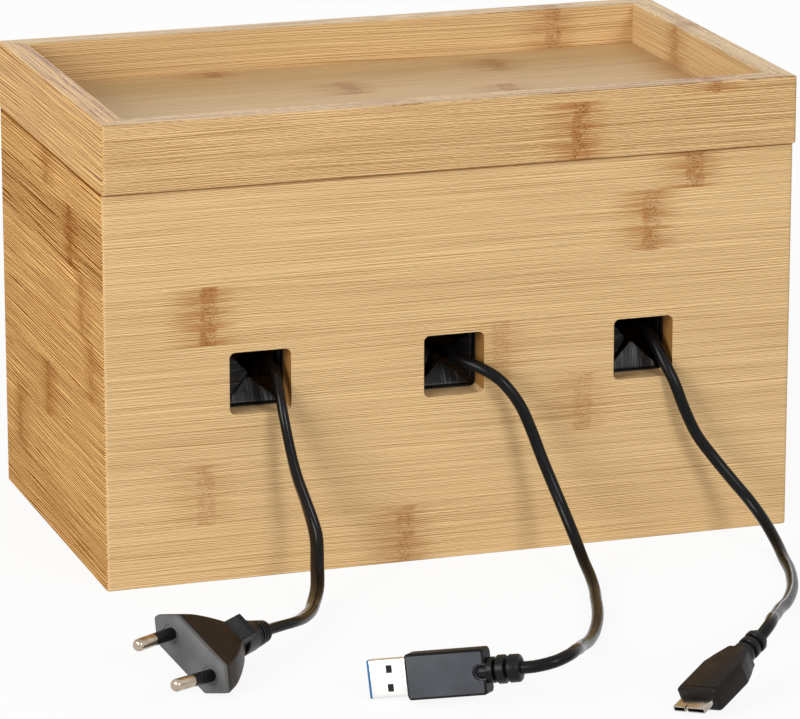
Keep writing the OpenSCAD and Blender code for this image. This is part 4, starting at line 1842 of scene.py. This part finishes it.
    def build(self, frame: dict, finishes: Finishes) -> None:
        """Build the cord and everything on it.

        Args:
            frame: the loaded frame.
            finishes: the finishes, by name.
        """
        large, small = self.large.matrix(), self.small.matrix()
        rings = ringed_relief(self.small_cover, 10, 3.7, 3.7, 2.9, 3)
        pieces = moulded({
            "usb_a_shell": (self.large_shell(), "shell_steel", large),
            "usb_a_tongue": (self.large_tongue(), "tongue_blue", large),
            "usb_a_cover": (self.large_cover(), "cover_grey", large),
            "usb_a_relief": (self.large_relief(), "moulded_black", large),
            "micro_shell": (self.small_shell(), "small_steel", small),
            "micro_cover": (self.small_cover_shape(), "small_cover", small),
            "micro_relief": (
                Shape().lathe([(self.small_cover - 0.6, 3.4), *rings], steps=40), "moulded_black", small,
            ),
        }, finishes)
        core = Shape().block((self.core_from, -1.9, -5.6), (-0.5, 1.9, 5.6)).moved(large).mesh("core")
        inside = Fit(BOX_BODY, "moulded_black")
        pieces.append(fitted("usb_a_core_part", core, finishes["frame_rubber"], inside))
        mesh = eased(frame["nodes"]["usb_a_contacts"], [(lambda p: True, 0.00004)])
        contacts = Fit(BOX_BODY, "contact_gold", ("usb_a_contacts",))
        pieces.append(fitted("usb_a_contacts_part", mesh, finishes["contact_gold"], contacts))
        pieces.append(coil_tie(frame, "usb_cord_tie", finishes))
        line = self.route()
        shape = swept(line, disc(self.radius * MM, 16), Vector((0, 0, 1)), [0.0] * len(line))
        fit = Fit(BOX_BODY, "cord_sheath", ("usb_cord_to_micro", "usb_cord_coil", "usb_cord_to_a"))
        cord = fitted("usb_data_cord", shape.mesh("cord"), finishes["usb_sheath"], fit, crease=60.0)
        report_cord(cord, pieces, line)


# ---------------------------------------------------------------- studio


@dataclass(frozen=True)
class Softbox:
    """A square soft light: where it hangs, its side and its power in watts."""

    name: str
    place: Point3
    side: float
    power: float

    def build(self, target: Vector) -> None:
        """Hang the light and turn it to the target.

        Args:
            target: the place that it faces.
        """
        lamp = bpy.data.lights.new(self.name, "AREA")
        lamp.shape = "SQUARE"
        lamp.size = self.side
        lamp.energy = self.power
        holder = placed(self.name, lamp)
        holder.location = self.place
        holder.rotation_euler = (target - Vector(self.place)).to_track_quat("-Z", "Y").to_euler()


@dataclass
class Studio:
    """The camera, the lights, the pale floor and the surroundings.

    Places are in metres, the camera's angles in radians, and its lens in millimetres.
    """

    camera_at: Point3 = (-0.51623, -1.57693, 0.51175)
    yaw: float = 0.31826
    pitch: float = 0.27091
    roll: float = -0.00056
    lens: float = 224.774
    target: Point3 = (0.0, -0.06, 0.08)
    ambient: float = 0.36
    floor_tone: float = 0.8
    floor_share: float = 0.9
    floor_half: float = 6.0
    softboxes: tuple[Softbox, ...] = (
        Softbox("key", (0.7, -2.4, 1.3), 0.8, 24.5),
        Softbox("fill", (-1.8, -1.0, 0.8), 1.0, 29.0),
        Softbox("rear", (0.5, 1.9, 0.7), 1.2, 12.0),
    )

    def camera(self) -> None:
        """Set up the camera."""
        flat = math.cos(self.pitch)
        ahead = Vector((math.sin(self.yaw) * flat, math.cos(self.yaw) * flat, -math.sin(self.pitch)))
        right = Vector((math.cos(self.yaw), -math.sin(self.yaw), 0))
        up = right.cross(ahead)
        turn = Matrix((right, up, -ahead)).transposed() @ Matrix.Rotation(self.roll, 3, "Z")
        lens = bpy.data.cameras.new("camera")
        lens.sensor_fit = "HORIZONTAL"
        lens.sensor_width = 36.0
        lens.lens = self.lens
        lens.clip_start = 0.01
        holder = placed("camera", lens)
        holder.matrix_world = Matrix.Translation(self.camera_at) @ turn.to_4x4()
        bpy.context.scene.camera = holder

    @staticmethod
    def seen(w: Wiring) -> Socket:
        """Give 1 for rays that look straight, or by a mirror or glass, at the surroundings, and 0 for others.

        Args:
            w: the wiring of the surroundings' or the floor's tree.

        Returns:
            The number's socket.
        """
        rays = w.add("LightPath").outputs
        mirrored = w.math("MAXIMUM", rays["Is Glossy Ray"], rays["Is Transmission Ray"])
        return w.math("MAXIMUM", rays["Is Camera Ray"], mirrored)

    def floor(self) -> None:
        """Lay the floor, which keeps the object's shadow on a white ground."""
        material, w = new_material("studio_floor")
        plain = w.add("BsdfDiffuse", {"Color": (self.floor_tone, self.floor_tone, self.floor_tone, 1.0)})
        faint = 1.0 - self.floor_share
        shadow = w.add("BsdfDiffuse", {"Color": (faint, faint, faint, 1.0)})
        glow = w.add("Emission", {"Color": (1.0, 1.0, 1.0, 1.0), "Strength": self.floor_share})
        white = w.add("AddShader", {0: shadow.outputs[0], 1: glow.outputs[0]})
        mixed = w.add("MixShader", {0: self.seen(w), 1: plain.outputs[0], 2: white.outputs[0]})
        w.add("OutputMaterial", {"Surface": mixed.outputs[0]})
        half = self.floor_half
        corners = [(x * half, y * half, 0) for x, y in ((-1, -1), (1, -1), (1, 1), (-1, 1))]
        mesh = bpy.data.meshes.new("floor")
        mesh.from_pydata(corners, [], [(0, 1, 2, 3)])
        mesh.materials.append(material)
        placed("floor", mesh)

    def surroundings(self) -> None:
        """Set up the surroundings: white where they are seen, and softer as a light."""
        world = bpy.data.worlds.new("surroundings")
        world.use_nodes = True
        world.node_tree.nodes.clear()
        w = Wiring(world.node_tree)
        strength = w.math("MULTIPLY_ADD", self.seen(w), 1.0 - self.ambient, self.ambient)
        sky = w.add("Background", {"Color": (1.0, 1.0, 1.0, 1.0), "Strength": strength})
        w.add("OutputWorld", {"Surface": sky.outputs[0]})
        bpy.context.scene.world = world

    def build(self) -> None:
        """Build the whole studio."""
        self.camera()
        self.floor()
        self.surroundings()
        for softbox in self.softboxes:
            softbox.build(Vector(self.target))
        bpy.context.scene.view_settings.view_transform = "Standard"


# ---------------------------------------------------------------- the whole


def finishes() -> Finishes:
    """Make the finishes that are not wood.

    Returns:
        Each finish's material, by the name that the pieces use.
    """
    facing = tuple(DataCord.large.matrix().to_3x3() @ Vector((0, 1 / MM, 0)))
    looks = {
        "insert_rubber": Moulding("sleeve_black", "#0a0909", "#100f0f", 0.36, 0.12),
        "frame_rubber": Moulding("frame_rubber", "#0f0e0d", "#181715", 0.5, 0.2),
        "cord_sheath": Moulding("lead_sheath", "#0a0807", "#110d0a", 0.17, 0.16, 0.00001),
        "usb_sheath": Moulding("cord_sheath", "#0a0a0a", "#100f0f", 0.24, 0.14, 0.00001),
        # The plug body's brown tint is a painted reflection of the bamboo box.
        "plug_body": Moulding("plug_body", "#1f160e", "#2a1e13", 0.36, 0.1),
        "moulded_black": Moulding("plug_black", "#101010", "#181717", 0.3, 0.16),
        "small_cover": Moulding("small_plug_black", "#1b1816", "#221e1b", 0.36, 0.12),
        "plug_face": Moulding("plug_face", "#5e5e5e", "#696969", 0.5, 0.2),
        "cover_grey": Moulding("cover_grey", "#45474c", "#4c4e53", 0.45, 0.15, edge="#0c0b0b", facing=facing),
        "tie": Moulding("tie_weave", "#3a3c3e", "#4a4c4e", 0.8, 0.2, 0.0001),
        # The pins' nickel is darkened and browned as a painted reflection of darker, brown surroundings.
        "nickel": Metal("pin_nickel", "#b8a995", "#84786a", 0.12),
        "shell_steel": Metal("shell_steel", "#ecebe8", "#dddcd8", 0.26),
        "small_steel": Metal("small_steel", "#c4bfb6", "#8d857a", 0.18),
        "tongue_blue": Moulding("tongue_blue", "#2a6796", "#3474a3", 0.4, 0.2),
        "contact_gold": Metal("contact_gold", "#d9b15c", "#b98f44", 0.2),
    }
    return {name: look.material() for name, look in looks.items()}


def main() -> None:
    """Build the box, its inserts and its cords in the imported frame."""
    logging.basicConfig(level=logging.INFO, format="%(name)s %(message)s")
    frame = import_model()
    Studio().build()
    made = finishes()
    MainsLead().build(frame, made)
    DataCord().build(frame, made)
    upright = RubberSheet("flap_rubber_upright", "XZY").material()
    level = RubberSheet("flap_rubber_level", "ZXY").material()
    # The bottom flaps get a paler copy of the rubber: painted light where the lamps fall on them.
    painted_light = RubberSheet("flap_rubber_lit", "XZY", "#29292a", "#6f6f72").material()
    flaps = {Side.BOTTOM: painted_light, Side.TOP: upright, Side.LEFT: level, Side.RIGHT: level}
    for name, x, leans in (
        ("left_outlet", -67.0, (35, 85, 85, 12)),
        ("middle_outlet", 0.0, (40, 55, 55, 45)),
        ("right_outlet", 67.0, (12, 84, 75, 25)),
    ):
        OutletInsert(name, x, leans).build(frame, made["frame_rubber"], flaps)
    Woodwork().build(frame)


if __name__ == "__main__":
    main()
